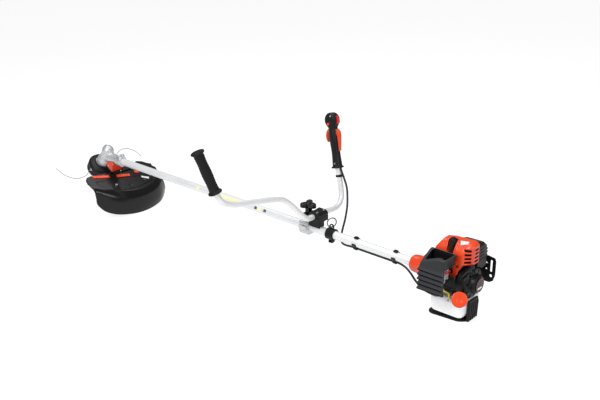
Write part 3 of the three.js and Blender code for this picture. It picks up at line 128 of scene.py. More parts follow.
def surface(name, color, roughness, metallic, vary, grain, depth, rough_vary=0.08, stretch=(1, 1, 1),
            coat=0.0, strength=0.35, mirror=0.5):
    """Plain material with the slight changes of tone, gloss and grain that a real surface has."""
    mat, nodes, links, shader = new_material(name, color, roughness, metallic)
    shader.inputs["Specular IOR Level"].default_value = mirror
    broad = noise(nodes, links, BROAD_SCALE, 4)
    dark = tuple(c * (1 - vary) for c in color)
    light = tuple(min(1, c * (1 + vary)) for c in color)
    links.new(ramp(nodes, links, broad, dark, light), shader.inputs["Base Color"])
    fine = noise(nodes, links, grain, 3, stretch)
    shine = ramp(nodes, links, fine, max(0.02, roughness - rough_vary), min(1, roughness + rough_vary))
    links.new(shine, shader.inputs["Roughness"])
    bump(nodes, links, shader, fine, strength, depth * MM)
    if coat:
        shader.inputs["Coat Weight"].default_value = coat
        shader.inputs["Coat Roughness"].default_value = 0.12
    return mat


# Painted shade: the face's upward lean over which the painted tone goes from its shaded value to its lit
# value.
SLOPE_DOWN, SLOPE_UP = -0.3, 0.45


def paint_shade_by_slope(mat, under, over):
    """Painted shade: base colour that goes from one tone on faces that look down to another on those that
    look up, darker below and lighter above, as if lit from overhead.
    """
    nodes, links = mat.node_tree.nodes, mat.node_tree.links
    face = nodes.new("ShaderNodeNewGeometry")
    parts = nodes.new("ShaderNodeSeparateXYZ")
    links.new(face.outputs["Normal"], parts.inputs["Vector"])
    spread = nodes.new("ShaderNodeMapRange")
    spread.inputs["From Min"].default_value = SLOPE_DOWN
    spread.inputs["From Max"].default_value = SLOPE_UP
    links.new(parts.outputs["Z"], spread.inputs["Value"])
    tone = ramp(nodes, links, spread.outputs["Result"], under, over, 0, 1)
    links.new(tone, nodes["Principled BSDF"].inputs["Base Color"])


# Each look: material, slot, colour, roughness, metallic, change of tone, grain's scale, grain's depth in
# millimetres, and what else sets it apart.
LOOKS = {
    "tube": ("tube_aluminium", "tube_aluminium",
             (0.76, 0.77, 0.78), 0.48, 0.30, 0.03, 500, 0.03, dict(rough_vary=0.06, stretch=(1, 1, 14))),
    "cast": ("cast_alloy", "cast_alloy",
             (0.58, 0.59, 0.60), 0.42, 0.6, 0.08, 700, 0.2, dict(rough_vary=0.10)),
    "steel": ("machined_steel", "steel",
              (0.46, 0.47, 0.48), 0.32, 1.0, 0.10, 900, 0.05, dict(rough_vary=0.10)),
    "black_metal": ("black_painted_steel", "black_metal",
                    (0.006, 0.006, 0.0065), 0.36, 0.0, 0.15, 1100, 0.1, dict(mirror=0.25)),
    "black": ("black_nylon", "black_plastic",
              (0.005, 0.005, 0.0055), 0.40, 0.0, 0.18, 1600, 0.1, dict(mirror=0.22)),
    "box": ("charcoal_nylon", "black_plastic",
            (0.010, 0.0105, 0.0115), 0.36, 0.0, 0.15, 1700, 0.06, dict(mirror=0.28)),
    "gloss": ("black_gloss", "black_gloss_plastic",
              (0.003, 0.003, 0.0034), 0.20, 0.0, 0.20, 260, 0.08, dict(rough_vary=0.05, mirror=0.30)),
    "rubber": ("black_rubber", "black_rubber",
               (0.005, 0.005, 0.0055), 0.60, 0.0, 0.15, 1300, 0.2, dict(mirror=0.22)),
    "orange": ("orange_plastic", "orange_plastic",
               (0.74, 0.050, 0.005), 0.30, 0.0, 0.05, 1200, 0.06, dict(rough_vary=0.05, coat=0.12)),
    "red": ("red_plastic", "red_plastic", (0.62, 0.018, 0.012), 0.32, 0.0, 0.06, 1200, 0.05, {}),
    "nylon": ("nylon_line", "nylon", (0.22, 0.23, 0.23), 0.30, 0.0, 0.06, 800, 0.04, {}),
    "white": ("tank_white", "white_plastic",
              (0.88, 0.885, 0.90), 0.28, 0.0, 0.02, 220, 0.1, dict(rough_vary=0.05)),
    "hose": ("yellow_hose", "yellow_hose", (0.62, 0.53, 0.04), 0.26, 0.0, 0.06, 500, 0.04, {}),
    "foam": ("filter_foam", "filter_foam",
             (0.10, 0.105, 0.10), 0.90, 0.0, 0.30, 420, 0.8, dict(strength=0.8)),
    "label": ("label_yellow", "white_plastic", (0.84, 0.80, 0.42), 0.40, 0.0, 0.03, 600, 0.03, {}),
    "label_grey": ("label_grey", "black_plastic", (0.08, 0.085, 0.09), 0.40, 0.0, 0.05, 600, 0.03, {}),
    "badge": ("blank_badge", "white_plastic", (0.80, 0.80, 0.79), 0.32, 0.0, 0.03, 600, 0.03, {}),
    "ring_steel": ("ring_steel", "steel", (0.20, 0.205, 0.21), 0.28, 1.0, 0.10, 900, 0.04, {}),
    "badge_red": ("badge_ring", "red_plastic", (0.42, 0.02, 0.015), 0.35, 0.0, 0.05, 600, 0.03, {}),
    # Painted shade: dull black for a sheet that stands in for the shade inside a hollow.
    "dark": ("shadowed_black", "black_plastic",
             (0.004, 0.004, 0.0045), 0.75, 0.0, 0.20, 900, 0.1, dict(mirror=0.15)),
    "lead": ("cable_sleeve", "black_rubber", (0.005, 0.005, 0.0055), 0.42, 0.0, 0.10, 1500, 0.08, {}),
}
# Painted shade: tones of the faces that look down, darker as if in shadow, and of those that look up,
# lighter as if lit.
PAINTED_SLOPE_SHADES = {
    "box": ((0.0015, 0.0015, 0.0018), (0.034, 0.035, 0.040)),
    "gloss": ((0.0012, 0.0012, 0.0014), (0.0052, 0.0052, 0.0058)),
    "black": ((0.0012, 0.0012, 0.0014), (0.0085, 0.0085, 0.0095)),
    "orange": ((0.56, 0.030, 0.004), (0.76, 0.056, 0.006)),
}


def make_materials():
    table = {look: surface(name, *numbers, **more) for look, (name, _, *numbers, more) in LOOKS.items()}
    for look, tones in PAINTED_SLOPE_SHADES.items():
        paint_shade_by_slope(table[look], *tones)
    shader = table["white"].node_tree.nodes["Principled BSDF"]
    shader.inputs["Subsurface Weight"].default_value = 0.35
    shader.inputs["Subsurface Radius"].default_value = (0.012, 0.012, 0.014)
    return table


MATERIALS = make_materials()


# ---- Mesh tools ----

def add_piece(name, mesh, look, body="frame", replaces=()):
    """Puts a mesh in the scene with its material, riding on a CAD body."""
    piece = bpy.data.objects.new(name, mesh)
    SCENE.objects.link(piece)
    mesh.materials.clear()
    mesh.materials.append(MATERIALS[look])
    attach(piece, body)
    if replaces:
        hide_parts(*replaces)
    return piece


def mesh_from(name, vertices, faces, matrix, smooth=True):
    mesh = bpy.data.meshes.new(name)
    mesh.from_pydata([matrix @ Vector(v) for v in vertices], [], faces)
    if smooth:
        mesh.shade_smooth()
    return mesh


def filleted(profile, radius, steps=4):
    """Profile of (r, h) points with its corners rounded, first and last points kept."""
    points = [Vector(p) for p in profile]
    result = [points[0]]
    for before, corner, after in zip(points, points[1:], points[2:]):
        into, out = (before - corner), (after - corner)
        reach = min(radius, into.length * 0.45, out.length * 0.45)
        a = corner + into.normalized() * reach
        b = corner + out.normalized() * reach
        for i in range(steps + 1):
            t = i / steps
            result.append(a * (1 - t) ** 2 + corner * 2 * t * (1 - t) + b * t ** 2)
    result.append(points[-1])
    return [tuple(p) for p in result]


def lathe(name, profile, look, at=(0, 0, 0), along=BACK, matrix=None, sides=64, fillet=1.2, wave=None,
          **where):
    """Round piece from a profile of (radius, height) points, standing at a point along a direction.
    wave is (count, depth, low, high): that many shallow flutes in the outside between two heights."""
    turn = Vector(along).to_track_quat("Z", "Y").to_matrix().to_4x4()
    matrix = (matrix or MACHINE) @ Matrix.Translation(at) @ turn
    outline_points = filleted(profile, fillet) if fillet else profile
    widest = max(r for r, _ in profile)
    vertices, faces, rings = [], [], []
    for r, h in outline_points:
        if r < 1e-6:
            rings.append([len(vertices)])
            vertices.append((0, 0, h))
            continue
        rings.append(list(range(len(vertices), len(vertices) + sides)))
        fluted = wave and wave[2] <= h <= wave[3] and r > 0.93 * widest
        for i in range(sides):
            a = 2 * math.pi * i / sides
            reach = r - (wave[1] * (0.5 + 0.5 * math.cos(wave[0] * a)) if fluted else 0)
            vertices.append((reach * math.cos(a), reach * math.sin(a), h))
    pairs = list(zip(rings, rings[1:]))
    if len(rings[0]) > 1:
        pairs.append((rings[-1], rings[0]))
    for one, two in pairs:
        for i in range(sides):
            j = (i + 1) % sides
            quad = [one[i % len(one)], one[j % len(one)], two[j % len(two)], two[i % len(two)]]
            faces.append(list(dict.fromkeys(quad)))
    mesh = mesh_from(name, vertices, faces, matrix)
    return add_piece(name, facing_out(mesh), look, **where)


def facing_out(mesh):
    bm = bmesh.new()
    bm.from_mesh(mesh)
    bmesh.ops.recalc_face_normals(bm, faces=bm.faces)
    bm.to_mesh(mesh)
    bm.free()
    return mesh


def smooth_path(points, steps):
    """Centripetal Catmull-Rom curve through the points, as the CAD draws it."""
    points = [Vector(p) for p in points]
    padded = [points[0] * 2 - points[1], *points, points[-1] * 2 - points[-2]]
    path = []
    for i in range(1, len(padded) - 2):
        p = padded[i - 1:i + 3]
        t = [0.0]
        for a, b in zip(p, p[1:]):
            t.append(t[-1] + max((b - a).length, 1e-6) ** 0.5)
        for k in range(steps):
            s = t[1] + (t[2] - t[1]) * k / steps
            a1 = p[0].lerp(p[1], (s - t[0]) / (t[1] - t[0]))
            a2 = p[1].lerp(p[2], (s - t[1]) / (t[2] - t[1]))
            a3 = p[2].lerp(p[3], (s - t[2]) / (t[3] - t[2]))
            b1 = a1.lerp(a2, (s - t[0]) / (t[2] - t[0]))
            b2 = a2.lerp(a3, (s - t[1]) / (t[3] - t[1]))
            path.append(b1.lerp(b2, (s - t[1]) / (t[2] - t[1])))
    path.append(points[-1])
    return path


def sweep(name, points, radius, look, sides=20, steps=8, matrix=None, **where):
    """Round rod along a smooth curve, its ends closed by small domes."""
    path = smooth_path(points, steps)
    tangents = [(b - a).normalized() for a, b in zip(path, path[1:])]
    tangents.append(tangents[-1])
    side = tangents[0].orthogonal().normalized()
    rings = []
    for i, (p, t) in enumerate(zip(path, tangents)):
        side = (side - t * side.dot(t)).normalized()
        rings.append((p, side, t.cross(side), radius))
    first, last = rings[0], rings[-1]
    start = (first[0] - tangents[0] * radius * 0.25, first[1], first[2], radius * 0.7)
    end = (last[0] + tangents[-1] * radius * 0.25, last[1], last[2], radius * 0.7)
    rings = [start, *rings, end]
    vertices, faces = [], []
    for p, u, v, r in rings:
        for k in range(sides):
            a = 2 * math.pi * k / sides
            vertices.append(p + u * (r * math.cos(a)) + v * (r * math.sin(a)))
    for i in range(len(rings) - 1):
        for k in range(sides):
            j = (k + 1) % sides
            faces.append((i * sides + k, i * sides + j, (i + 1) * sides + j, (i + 1) * sides + k))
    faces.append(list(range(sides))[::-1])
    faces.append(list(range(len(vertices) - sides, len(vertices))))
    return add_piece(name, mesh_from(name, vertices, faces, matrix or MACHINE), look, **where)


def refined(node, look, width=0.6, body="frame"):
    """The CAD node's own shape with merged faces, rounded edges and smooth round faces."""
    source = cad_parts[node].data
    bm = bmesh.new()
    bm.from_mesh(source)
    bmesh.ops.remove_doubles(bm, verts=bm.verts, dist=1e-5)
    bmesh.ops.dissolve_limit(bm, angle_limit=math.radians(1), verts=bm.verts, edges=bm.edges)
    bmesh.ops.recalc_face_normals(bm, faces=bm.faces)
    for face in bm.faces:
        face.smooth = True
    for edge in bm.edges:
        edge.smooth = not edge.is_manifold or edge.calc_face_angle(0) < math.radians(32)
    mesh = bpy.data.meshes.new(node + "_fine")
    bm.to_mesh(mesh)
    bm.free()
    piece = add_piece(node + "_fine", mesh, look, body, (node,))
    if width:
        bevel = piece.modifiers.new("edges", "BEVEL")
        bevel.width = width * MM
        bevel.segments = 2
        bevel.limit_method = "ANGLE"
        bevel.angle_limit = math.radians(38)
        bevel.harden_normals = True
    return piece


# ---- Moulded shapes: distance fields turned into meshes ----
# A field is a distance in millimetres, negative inside. Its arguments are grids that broadcast.

def rounded(r, *distances):
    """Common part of several half spaces or shapes, with edges rounded to r."""
    deepest = distances[0]
    squares = np.maximum(r + distances[0], 0) ** 2
    for d in distances[1:]:
        deepest = np.maximum(deepest, d)
        squares = squares + np.maximum(r + d, 0) ** 2
    return np.minimum(-r, deepest) + np.sqrt(squares)


def slab(v, low, high):
    return np.abs(v - (low + high) / 2) - (high - low) / 2


def box(p, low, high, r=2.0):
    return rounded(r, *(slab(v, a, b) for v, a, b in zip(p, low, high)))


def blended(a, b, k):
    """Union with a fillet of about k."""
    h = np.clip(0.5 + 0.5 * (b - a) / k, 0, 1)
    return b + (a - b) * h - k * h * (1 - h)


def without(a, b, k=0.6):
    """What is left of a once b is taken away, with the cut's edge eased by k."""
    return -blended(-a, b, k)


def cleared(shape, k, *rooms):
    """What is left of a shape once each of the rooms is taken away."""
    for room in rooms:
        shape = without(shape, room, k)
    return shape


def circle(u, v, r=0.0):
    """Distance to a circle about the origin of the plane of u and v."""
    return np.sqrt(u ** 2 + v ** 2) - r


def ball(p, at, r):
    return np.sqrt(sum((v - c) ** 2 for v, c in zip(p, at))) - r


def height_along(p, start, axis):
    return sum((v - c) * a for v, c, a in zip(p, start, axis))


def rod(p, start, end, r, r_end=None, ease=1.0):
    """Cylinder or cone between two points, its end edges rounded by ease."""
    start, end = Vector(start), Vector(end)
    axis = (end - start).normalized()
    length = (end - start).length
    h = height_along(p, start, axis)
    far = sum((v - c) ** 2 for v, c in zip(p, start)) - h ** 2
    radius = r if r_end is None else r + (r_end - r) * np.clip(h / length, 0, 1)
    return rounded(ease, np.sqrt(np.maximum(far, 0)) - radius, -h, h - length)


def pill(p, start, end, r, r_end=None):
    """Capsule between two points."""
    start, end = Vector(start), Vector(end)
    span = end - start
    t = np.clip(height_along(p, start, span) / span.length_squared, 0, 1)
    gap = sum((v - c - t * a) ** 2 for v, c, a in zip(p, start, span))
    return np.sqrt(gap) - (r if r_end is None else r + (r_end - r) * t)


def outline(u, v, points):
    """Signed distance to a closed outline in the plane of u and v."""
    nearest = None
    inside = np.ones(np.broadcast(u, v).shape)
    count = len(points)
    for i in range(count):
        (ax, ay), (bx, by) = points[i], points[i - 1]
        ex, ey = bx - ax, by - ay
        wx, wy = u - ax, v - ay
        t = np.clip((wx * ex + wy * ey) / (ex * ex + ey * ey), 0, 1)
        d = (wx - ex * t) ** 2 + (wy - ey * t) ** 2
        nearest = d if nearest is None else np.minimum(nearest, d)
        above, below, left = v >= ay, v < by, ex * wy > ey * wx
        flip = (above & below & left) | (~above & ~below & ~left)
        inside = np.where(flip, -inside, inside)
    return np.sqrt(nearest) * inside


def net_mesh(name, field, low, high, cell, matrix):
    """Smooth mesh where the field changes sign, one vertex in each crossed cell."""
    counts = [max(4, int(math.ceil((b - a) / cell)) + 1) for a, b in zip(low, high)]
    axes = [a + cell * np.arange(n) for a, n in zip(low, counts)]
    grid = (axes[0][:, None, None], axes[1][None, :, None], axes[2][None, None, :])
    values = np.broadcast_to(field(grid), counts).astype(np.float64)
    values = np.where(np.abs(values) < 1e-6, 1e-6, values)
    shape = [n - 1 for n in counts]
    total = np.zeros((*shape, 3))
    hits = np.zeros(shape)
    crossings = []
    for axis in range(3):
        lower = np.take(values, range(counts[axis] - 1), axis)
        upper = np.take(values, range(1, counts[axis]), axis)
        crossed = (lower < 0) != (upper < 0)
        crossings.append((crossed, lower < 0))
        share = np.where(crossed, lower / np.where(crossed, lower - upper, 1), 0)
        others = [a for a in range(3) if a != axis]
        for first in (0, 1):
            for second in (0, 1):
                cut = [slice(None)] * 3
                cut[others[0]] = slice(first, first + shape[others[0]])
                cut[others[1]] = slice(second, second + shape[others[1]])
                mask = crossed[tuple(cut)]
                hits += mask
                total[..., axis] += np.where(mask, share[tuple(cut)], 0)
                total[..., others[0]] += mask * first
                total[..., others[1]] += mask * second
    used = hits > 0
    index = np.full(shape, -1, dtype=np.int64)
    index[used] = np.arange(int(used.sum()))
    corner = np.stack(np.nonzero(used), 1)
    points = np.array(low) + cell * (corner + total[used] / hits[used][:, None])
    quads = []
    for axis, (crossed, below) in enumerate(crossings):
        second, third = (axis + 1) % 3, (axis + 2) % 3
        where = np.stack(np.nonzero(crossed), 1)
        keep = (where[:, second] > 0) & (where[:, third] > 0)
        keep &= (where[:, second] < shape[second]) & (where[:, third] < shape[third])
        where = where[keep]
        outward = below[tuple(where.T)]
        around = []
        for a, b in ((1, 1), (0, 1), (0, 0), (1, 0)):
            place = where.copy()
            place[:, second] -= a
            place[:, third] -= b
            around.append(index[tuple(place.T)])
        quad = np.stack(around, 1)
        quad[~outward] = quad[~outward][:, ::-1]
        quads.append(quad)
    faces = np.concatenate(quads)
    world = np.array(matrix)
    points = points @ world[:3, :3].T + world[:3, 3]
    mesh = bpy.data.meshes.new(name)
    mesh.vertices.add(len(points))
    mesh.vertices.foreach_set("co", points.astype(np.float32).ravel())
    mesh.loops.add(faces.size)
    mesh.loops.foreach_set("vertex_index", faces.astype(np.int32).ravel())
    mesh.polygons.add(len(faces))
    mesh.polygons.foreach_set("loop_start", np.arange(0, faces.size, 4, dtype=np.int32))
    mesh.update(calc_edges=True)
    mesh.validate()
    mesh.shade_smooth()
    return mesh


def moulded(name, field, low, high, look, cell=1.5, matrix=None, **where):
    """Piece with softly rounded edges from a distance field within a box."""
    mesh = net_mesh(name, field, low, high, cell, matrix or MACHINE)
    return add_piece(name, mesh, look, **where)


# ---- Camera, then the two nylon lines ----

CAMERA_AT = (2841.3, -2182.0, 1265.5)
CAMERA_TURN = math.radians(49.3899)
CAMERA_DIP = math.radians(22.3324)


def make_camera():
    """Camera behind the engine, above it and to its left, turned and dipped in the machine's frame."""
    place = MACHINE @ Vector(CAMERA_AT)
    level = MACHINE.to_3x3().normalized()
    ahead, across = math.cos(CAMERA_TURN), math.sin(CAMERA_TURN)
    rise, run = math.sin(CAMERA_DIP), math.cos(CAMERA_DIP)
    right = level @ Vector((across, ahead, 0))
    up = level @ Vector((-rise * ahead, rise * across, run))
    back = level @ Vector((run * ahead, -run * across, rise))
    data = bpy.data.cameras.new("camera")
    data.lens = 55.2
    data.sensor_width = 36
    data.sensor_fit = "HORIZONTAL"
    data.clip_end = 100
    camera = bpy.data.objects.new("camera", data)
    SCENE.objects.link(camera)
    camera.matrix_world = Matrix.Translation(place) @ Matrix((right, up, back)).transposed().to_4x4()
    bpy.context.scene.camera = camera


LINE_LEVEL = -61
LINE_R = 1.35
LEFT_LINE = [(0, -52), (2, -68), (18, -88), (23, -124), (17, -147), (-12, -175), (-58, -189)]
RIGHT_LINE = [(0, 52), (-4, 68), (-30, 98), (-48, 132), (-48, 160), (-33, 182), (-8, 196), (16, 197)]


def nylon_line(name, route):
    """Free nylon line from the head's eyelet to its cut end, as one open spline."""
    path = [HEAD @ p for p in smooth_path([(x, y, LINE_LEVEL) for x, y in route], 5)]
    curve = bpy.data.curves.new(name, "CURVE")
    curve.dimensions = "3D"
    curve.bevel_depth = LINE_R * MM
    curve.bevel_resolution = 4
    curve.use_fill_caps = True
    spline = curve.splines.new("POLY")
    spline.points.add(len(path) - 1)
    for point, place in zip(spline.points, path):
        point.co = (*place, 1)
    spline.use_smooth = True
    curve.materials.append(MATERIALS["nylon"])
    piece = bpy.data.objects.new(name, curve)
    SCENE.objects.link(piece)
    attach(piece, "trimmer_head")
    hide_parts("nylon_line_" + name.split("_")[1])


# ---- Small repeated pieces ----

def screw(name, at, along, r=4.0, rise=2.6, look="steel", matrix=None, **where):
    """Round head with a socket recess, its foot at a point."""
    hollow = r * 0.48
    profile = [(0, -0.6), (r, -0.6), (r, rise * 0.7), (r * 0.8, rise), (hollow, rise), (hollow, rise * 0.3),
               (0, rise * 0.3)]
    return lathe(name, profile, look, at, along, matrix, sides=28, fillet=0.5, **where)


def wrap(name, x0, x1, middle, spread, look, r=TUBE_R, thick=0.25):
    """Thin sticker that follows the tube, its middle at an angle from straight up, towards the left."""
    steps, vertices, faces = 14, [], []
    for x in (x0, x1):
        for radius in (r + 0.05, r + thick):
            for i in range(steps + 1):
                a = math.radians(middle + spread * (i / steps - 0.5))
                vertices.append((x, -radius * math.sin(a), radius * math.cos(a)))
    row = steps + 1
    for i in range(steps):
        faces.append((row + i, row + i + 1, 3 * row + i + 1, 3 * row + i))
        faces.append((i, 2 * row + i, 2 * row + i + 1, i + 1))
        faces.append((i, i + 1, row + i + 1, row + i))
        faces.append((2 * row + i, 3 * row + i, 3 * row + i + 1, 2 * row + i + 1))
    for i in (0, steps):
        faces.append((i, row + i, 3 * row + i, 2 * row + i))
    return add_piece(name, facing_out(mesh_from(name, vertices, faces, MACHINE, smooth=False)), look)


# ---- Drive tube and handlebar ----

BAR_X = 1047
BAR_Z = 52
BAR_R = 9.5
BAR_LEAN = math.radians(17)
BAR_ROUTE = [
    (-437.5, 316), (-424, 257), (-412.5, 207), (-394, 164), (-360, 145), (-262, 124), (-170, 104),
    (-138, 92), (-108, 64), (-76, 24), (-54, 4), (-34, 0), (34, 0), (82, -5), (114, 0), (136, 20),
    (146, 60), (150, 108), (160, 176), (169.2, 236),
]


def bar_point(y, up):
    return Vector((BAR_X - up * math.sin(BAR_LEAN), y, BAR_Z + up * math.cos(BAR_LEAN)))


def make_tube():
    length = TUBE_REAR - TUBE_FRONT
    profile = [(TUBE_BORE_R, 0), (TUBE_R, 0), (TUBE_R, length), (TUBE_BORE_R, length)]
    lathe("drive_tube", profile, "tube", (TUBE_FRONT, 0, 0), sides=96, fillet=0.4, replaces=("main_tube",))
    for i, (x0, x1, look) in enumerate([
        (472, 488, "label"), (597, 701, "label"), (768, 780, "label_grey"), (784, 800, "label"),
        (812, 824, "label_grey"),
    ]):
        wrap(f"tube_label_{i + 1}", x0, x1, 62, 42, look)
    sweep("handle_tube", [bar_point(*p) for p in BAR_ROUTE], BAR_R, "tube", 40, 10, replaces=("handlebar",))


LEFT_GRIP = ((-410, 196), (-441, 332))
RIGHT_GRIP = ((151.5, 121), (172.5, 257))


def grip_profile(length):
    """Soft grip with a flange at each end and shallow rings between."""
    profile = [(11, 0), (21, 0), (22.5, 3), (21, 6), (16.8, 9)]
    count = 14
    for i in range(count):
        h = 12 + (length - 24) * i / count
        swell = 15.6 + 1.3 * math.sin(math.pi * ((h / length) * 2 - 0.4)) ** 2
        step = (length - 24) / count
        profile += [(swell, h), (swell, h + step * 0.62), (swell - 0.8, h + step * 0.72),
                    (swell - 0.8, h + step * 0.9)]
    profile += [(16.5, length - 9), (21, length - 6), (22, length - 3), (20, length), (0, length)]
    return profile


def make_left_grip():
    low, high = (bar_point(*p) for p in LEFT_GRIP)
    length = (high - low).length
    lathe("left_hand_grip", grip_profile(length), "rubber", low, high - low, sides=64, fillet=0.9,
          replaces=("left_grip",))


THUMB_END = 165
LOCK_SPOT = (4, 152)
CABLE_R = 3.6
CABLE_EXIT = -13.5
CABLE_SIDE = -2
CABLE_DROP = -19.6


def throttle_matrix():
    low, high = (bar_point(*p) for p in RIGHT_GRIP)
    up = (high - low).normalized()
    ahead = Vector((-math.cos(BAR_LEAN), 0, -math.sin(BAR_LEAN)))
    left = up.cross(ahead).normalized()
    return MACHINE @ Matrix.Translation(low) @ Matrix((ahead, left, up)).transposed().to_4x4()


def throttle_field(p):
    """Throttle grip: waisted handle with its seam, round thumb end, and rooms for levers, bar and cable."""
    x, y, z = p
    neck = THUMB_END - 20
    r = circle(x, y)
    waist = 16.0 + 1.0 * np.cos(np.clip(z / neck, 0, 1) * 9)
    body = rounded(3, r - waist, -z, z - neck)
    flange = rounded(2.5, r - 21.5, -z, z - 6)
    thumb = circle(x, z - THUMB_END)
    head = blended(rounded(6, thumb - 22.5, slab(y, -17, 17)), rounded(4, thumb - 26, slab(y, -12, 12)), 3)
    shape = blended(blended(body, flange, 3), head, 8)
    seam = np.maximum(np.abs(y) - 0.5, -(shape + 0.7))
    shape = without(shape, seam, 0.3)
    ring = circle(x - LOCK_SPOT[0], z - LOCK_SPOT[1])
    boss = rounded(0.8, np.abs(ring - 7.8) - 1.8, 14 - y, y - 18.4)
    shape = blended(shape, boss, 0.8)
    return cleared(
        shape, 0.8, box(p, (6, -6.5, 78), (40, 6.5, 140), 1.5),
        box(p, (-40, -6.5, 46), (-12.6, 6.5, 136), 1.5), box(p, (-40, -6.5, 150.6), (-19, 6.5, 184), 1),
        np.maximum(ring - 5.4, 8 - y),
        np.maximum(r - BAR_R - 1.1, z - 122), np.maximum(circle(x - CABLE_EXIT, y) - CABLE_R - 0.5, z - 12),
    )


def strap_field(p):
    """Rubber strap that holds the cable beside the bar, below the throttle grip."""
    middle, cable = Vector((1019.5, 149, 142)), Vector((1040.6, 146.6, 142))
    line = (bar_point(150, 108) - bar_point(146, 60)).normalized()
    height = height_along(p, middle, line)
    shape = rounded(1, pill(p, middle, cable, 12, 6.2), np.abs(height) - 4)
    bar = rod(p, middle - line * 20, middle + line * 20, BAR_R + 0.2, ease=0.1)
    lead = rod(p, cable - line * 20, cable + line * 20, CABLE_R + 0.2, ease=0.1)
    return without(without(shape, bar, 0.3), lead, 0.3)


def make_throttle_grip():
    at = throttle_matrix()
    moulded("throttle_handle", throttle_field, (-28, -25, -3), (28, 25, THUMB_END + 29), "black", 0.9, at,
            replaces=("throttle_grip",))
    for i, (ahead, h, across) in enumerate(((-2, 16, 15.4), (-8, 178, 16.6))):
        screw(f"throttle_screw_{i + 1}", (ahead, across, h), (0, 1, 0), 3.2, 1.4, matrix=at)
    refined("throttle_trigger", "orange", 1.4, "throttle_trigger")
    refined("lockout_lever", "orange", 1.4, "lockout_lever")
    refined("stop_switch", "red", 0.9, "stop_switch")
    refined("throttle_lock", "orange", 0.9, "throttle_lock")
    into = MACHINE.inverted() @ at
    points = [into @ Vector(p) for p in ((CABLE_EXIT, 0, 10), (-14, 0, -6), (-19, -1, -28))]
    points += [
        (1058, 143, 112), (1069, 134, 82), (1081, 118, 54), (1094, 92, 22), (1107, 60, -8), (1122, 34, -25),
        (1146, 12, -27), (1172, -1, -22), *((x, CABLE_SIDE, CABLE_DROP) for x in (1196, 1228, 1352, 1384)),
        (1408, -4, -24), (1432, -10, -34), (1462, -28, -42), (1500, -50, -46), (1545, -70, -42),
        (1582, -86, -30), (1597, -92, -10), (1597, -92, 21.4),
    ]
    moulded("cable_strap", strap_field, (1003, 133, 130), (1052, 164, 152), "rubber", 0.8)
    sweep("throttle_cable", points, CABLE_R, "lead", 16, 8, replaces=("control_cable",))


def clip_field(p, middle):
    """Spring band round the tube, open over its left face, with a small eye under it for the cable."""
    x, y, z = p[0] - middle, p[1], p[2]
    r = circle(y, z)
    band = rounded(0.8, np.abs(r - TUBE_R - 1.4) - 1.2, np.abs(x) - 8)
    opening = rounded(2, np.abs(x) - 12, slab(z + 0.35 * y, -6, 13), y + 3)
    band = without(band, opening, 0.8)
    lug = box(p, (middle - 7, -6, TUBE_R), (middle + 7, 6, TUBE_R + 6), 1.5)
    cable = circle(y - CABLE_SIDE, z - CABLE_DROP)
    eye = rounded(0.8, cable - 6.4, np.abs(x) - 7)
    shape = blended(blended(band, lug, 1), eye, 1.5)
    return without(without(shape, cable - CABLE_R - 0.5, 0.4), r - TUBE_R - 0.3, 0.3)


KNOB_X = 1009
CAP_BOLT_X, CAP_BOLT_Y, CAP_BOLT_FOOT = 1060, 17, 62
CLIPS = (("cable_clip_front", 1212), ("cable_clip_rear", 1368))
SIDES = (("left", -1), ("right", 1))
RING_LINE = Vector((math.cos(math.radians(30)), -math.sin(math.radians(30)), 0))


def knob_field(p):
    """Three-winged knob on its stud."""
    x, y, z = p[0] - KNOB_X, p[1], p[2]
    r = circle(x, y)
    a = np.arctan2(y, x)
    wings = rounded(4, (r - (22 + 8.5 * np.cos(3 * a))) * 0.85, slab(z, 71, 87))
    hub = rounded(1.5, r - 12, slab(z, 50.6, 74))
    cap = rounded(2, r - 9.5, slab(z, 84, 91))
    stud = np.maximum(r - 3.9, slab(z, 34.6, 60))
    dish = rounded(1, r - 5.5, 88.6 - z)
    shape = without(blended(blended(wings, hub, 3), cap, 2), dish, 0.5)
    return np.minimum(shape, stud)


def cap_field(p):
    """Cap over the handlebar, with its front lip under the knob and wells for two bolts."""
    x, y, z = p
    side = outline(x, z, [
        (1029, 52.4), (1074, 52.4), (1074, 60), (1065, 69), (1036, 69), (1024, 50), (995, 50), (995, 42),
        (1024, 42),
    ])
    body = rounded(2, side, np.abs(y) - 25)
    groove = rounded(1, np.abs(y) - 8.5, 66.5 - z, x - 1062)
    body = without(body, groove, 0.8)
    bar = circle(x - BAR_X, z - BAR_Z) - BAR_R - 0.5
    stud = np.maximum(circle(x - KNOB_X, y, 4.3), z - 60)
    for _, side in SIDES:
        well = rounded(0.6, circle(x - CAP_BOLT_X, y - side * CAP_BOLT_Y, 5.4), CAP_BOLT_FOOT - z)
        body = without(body, well, 0.5)
    return without(without(body, bar, 0.6), stud, 0.4)


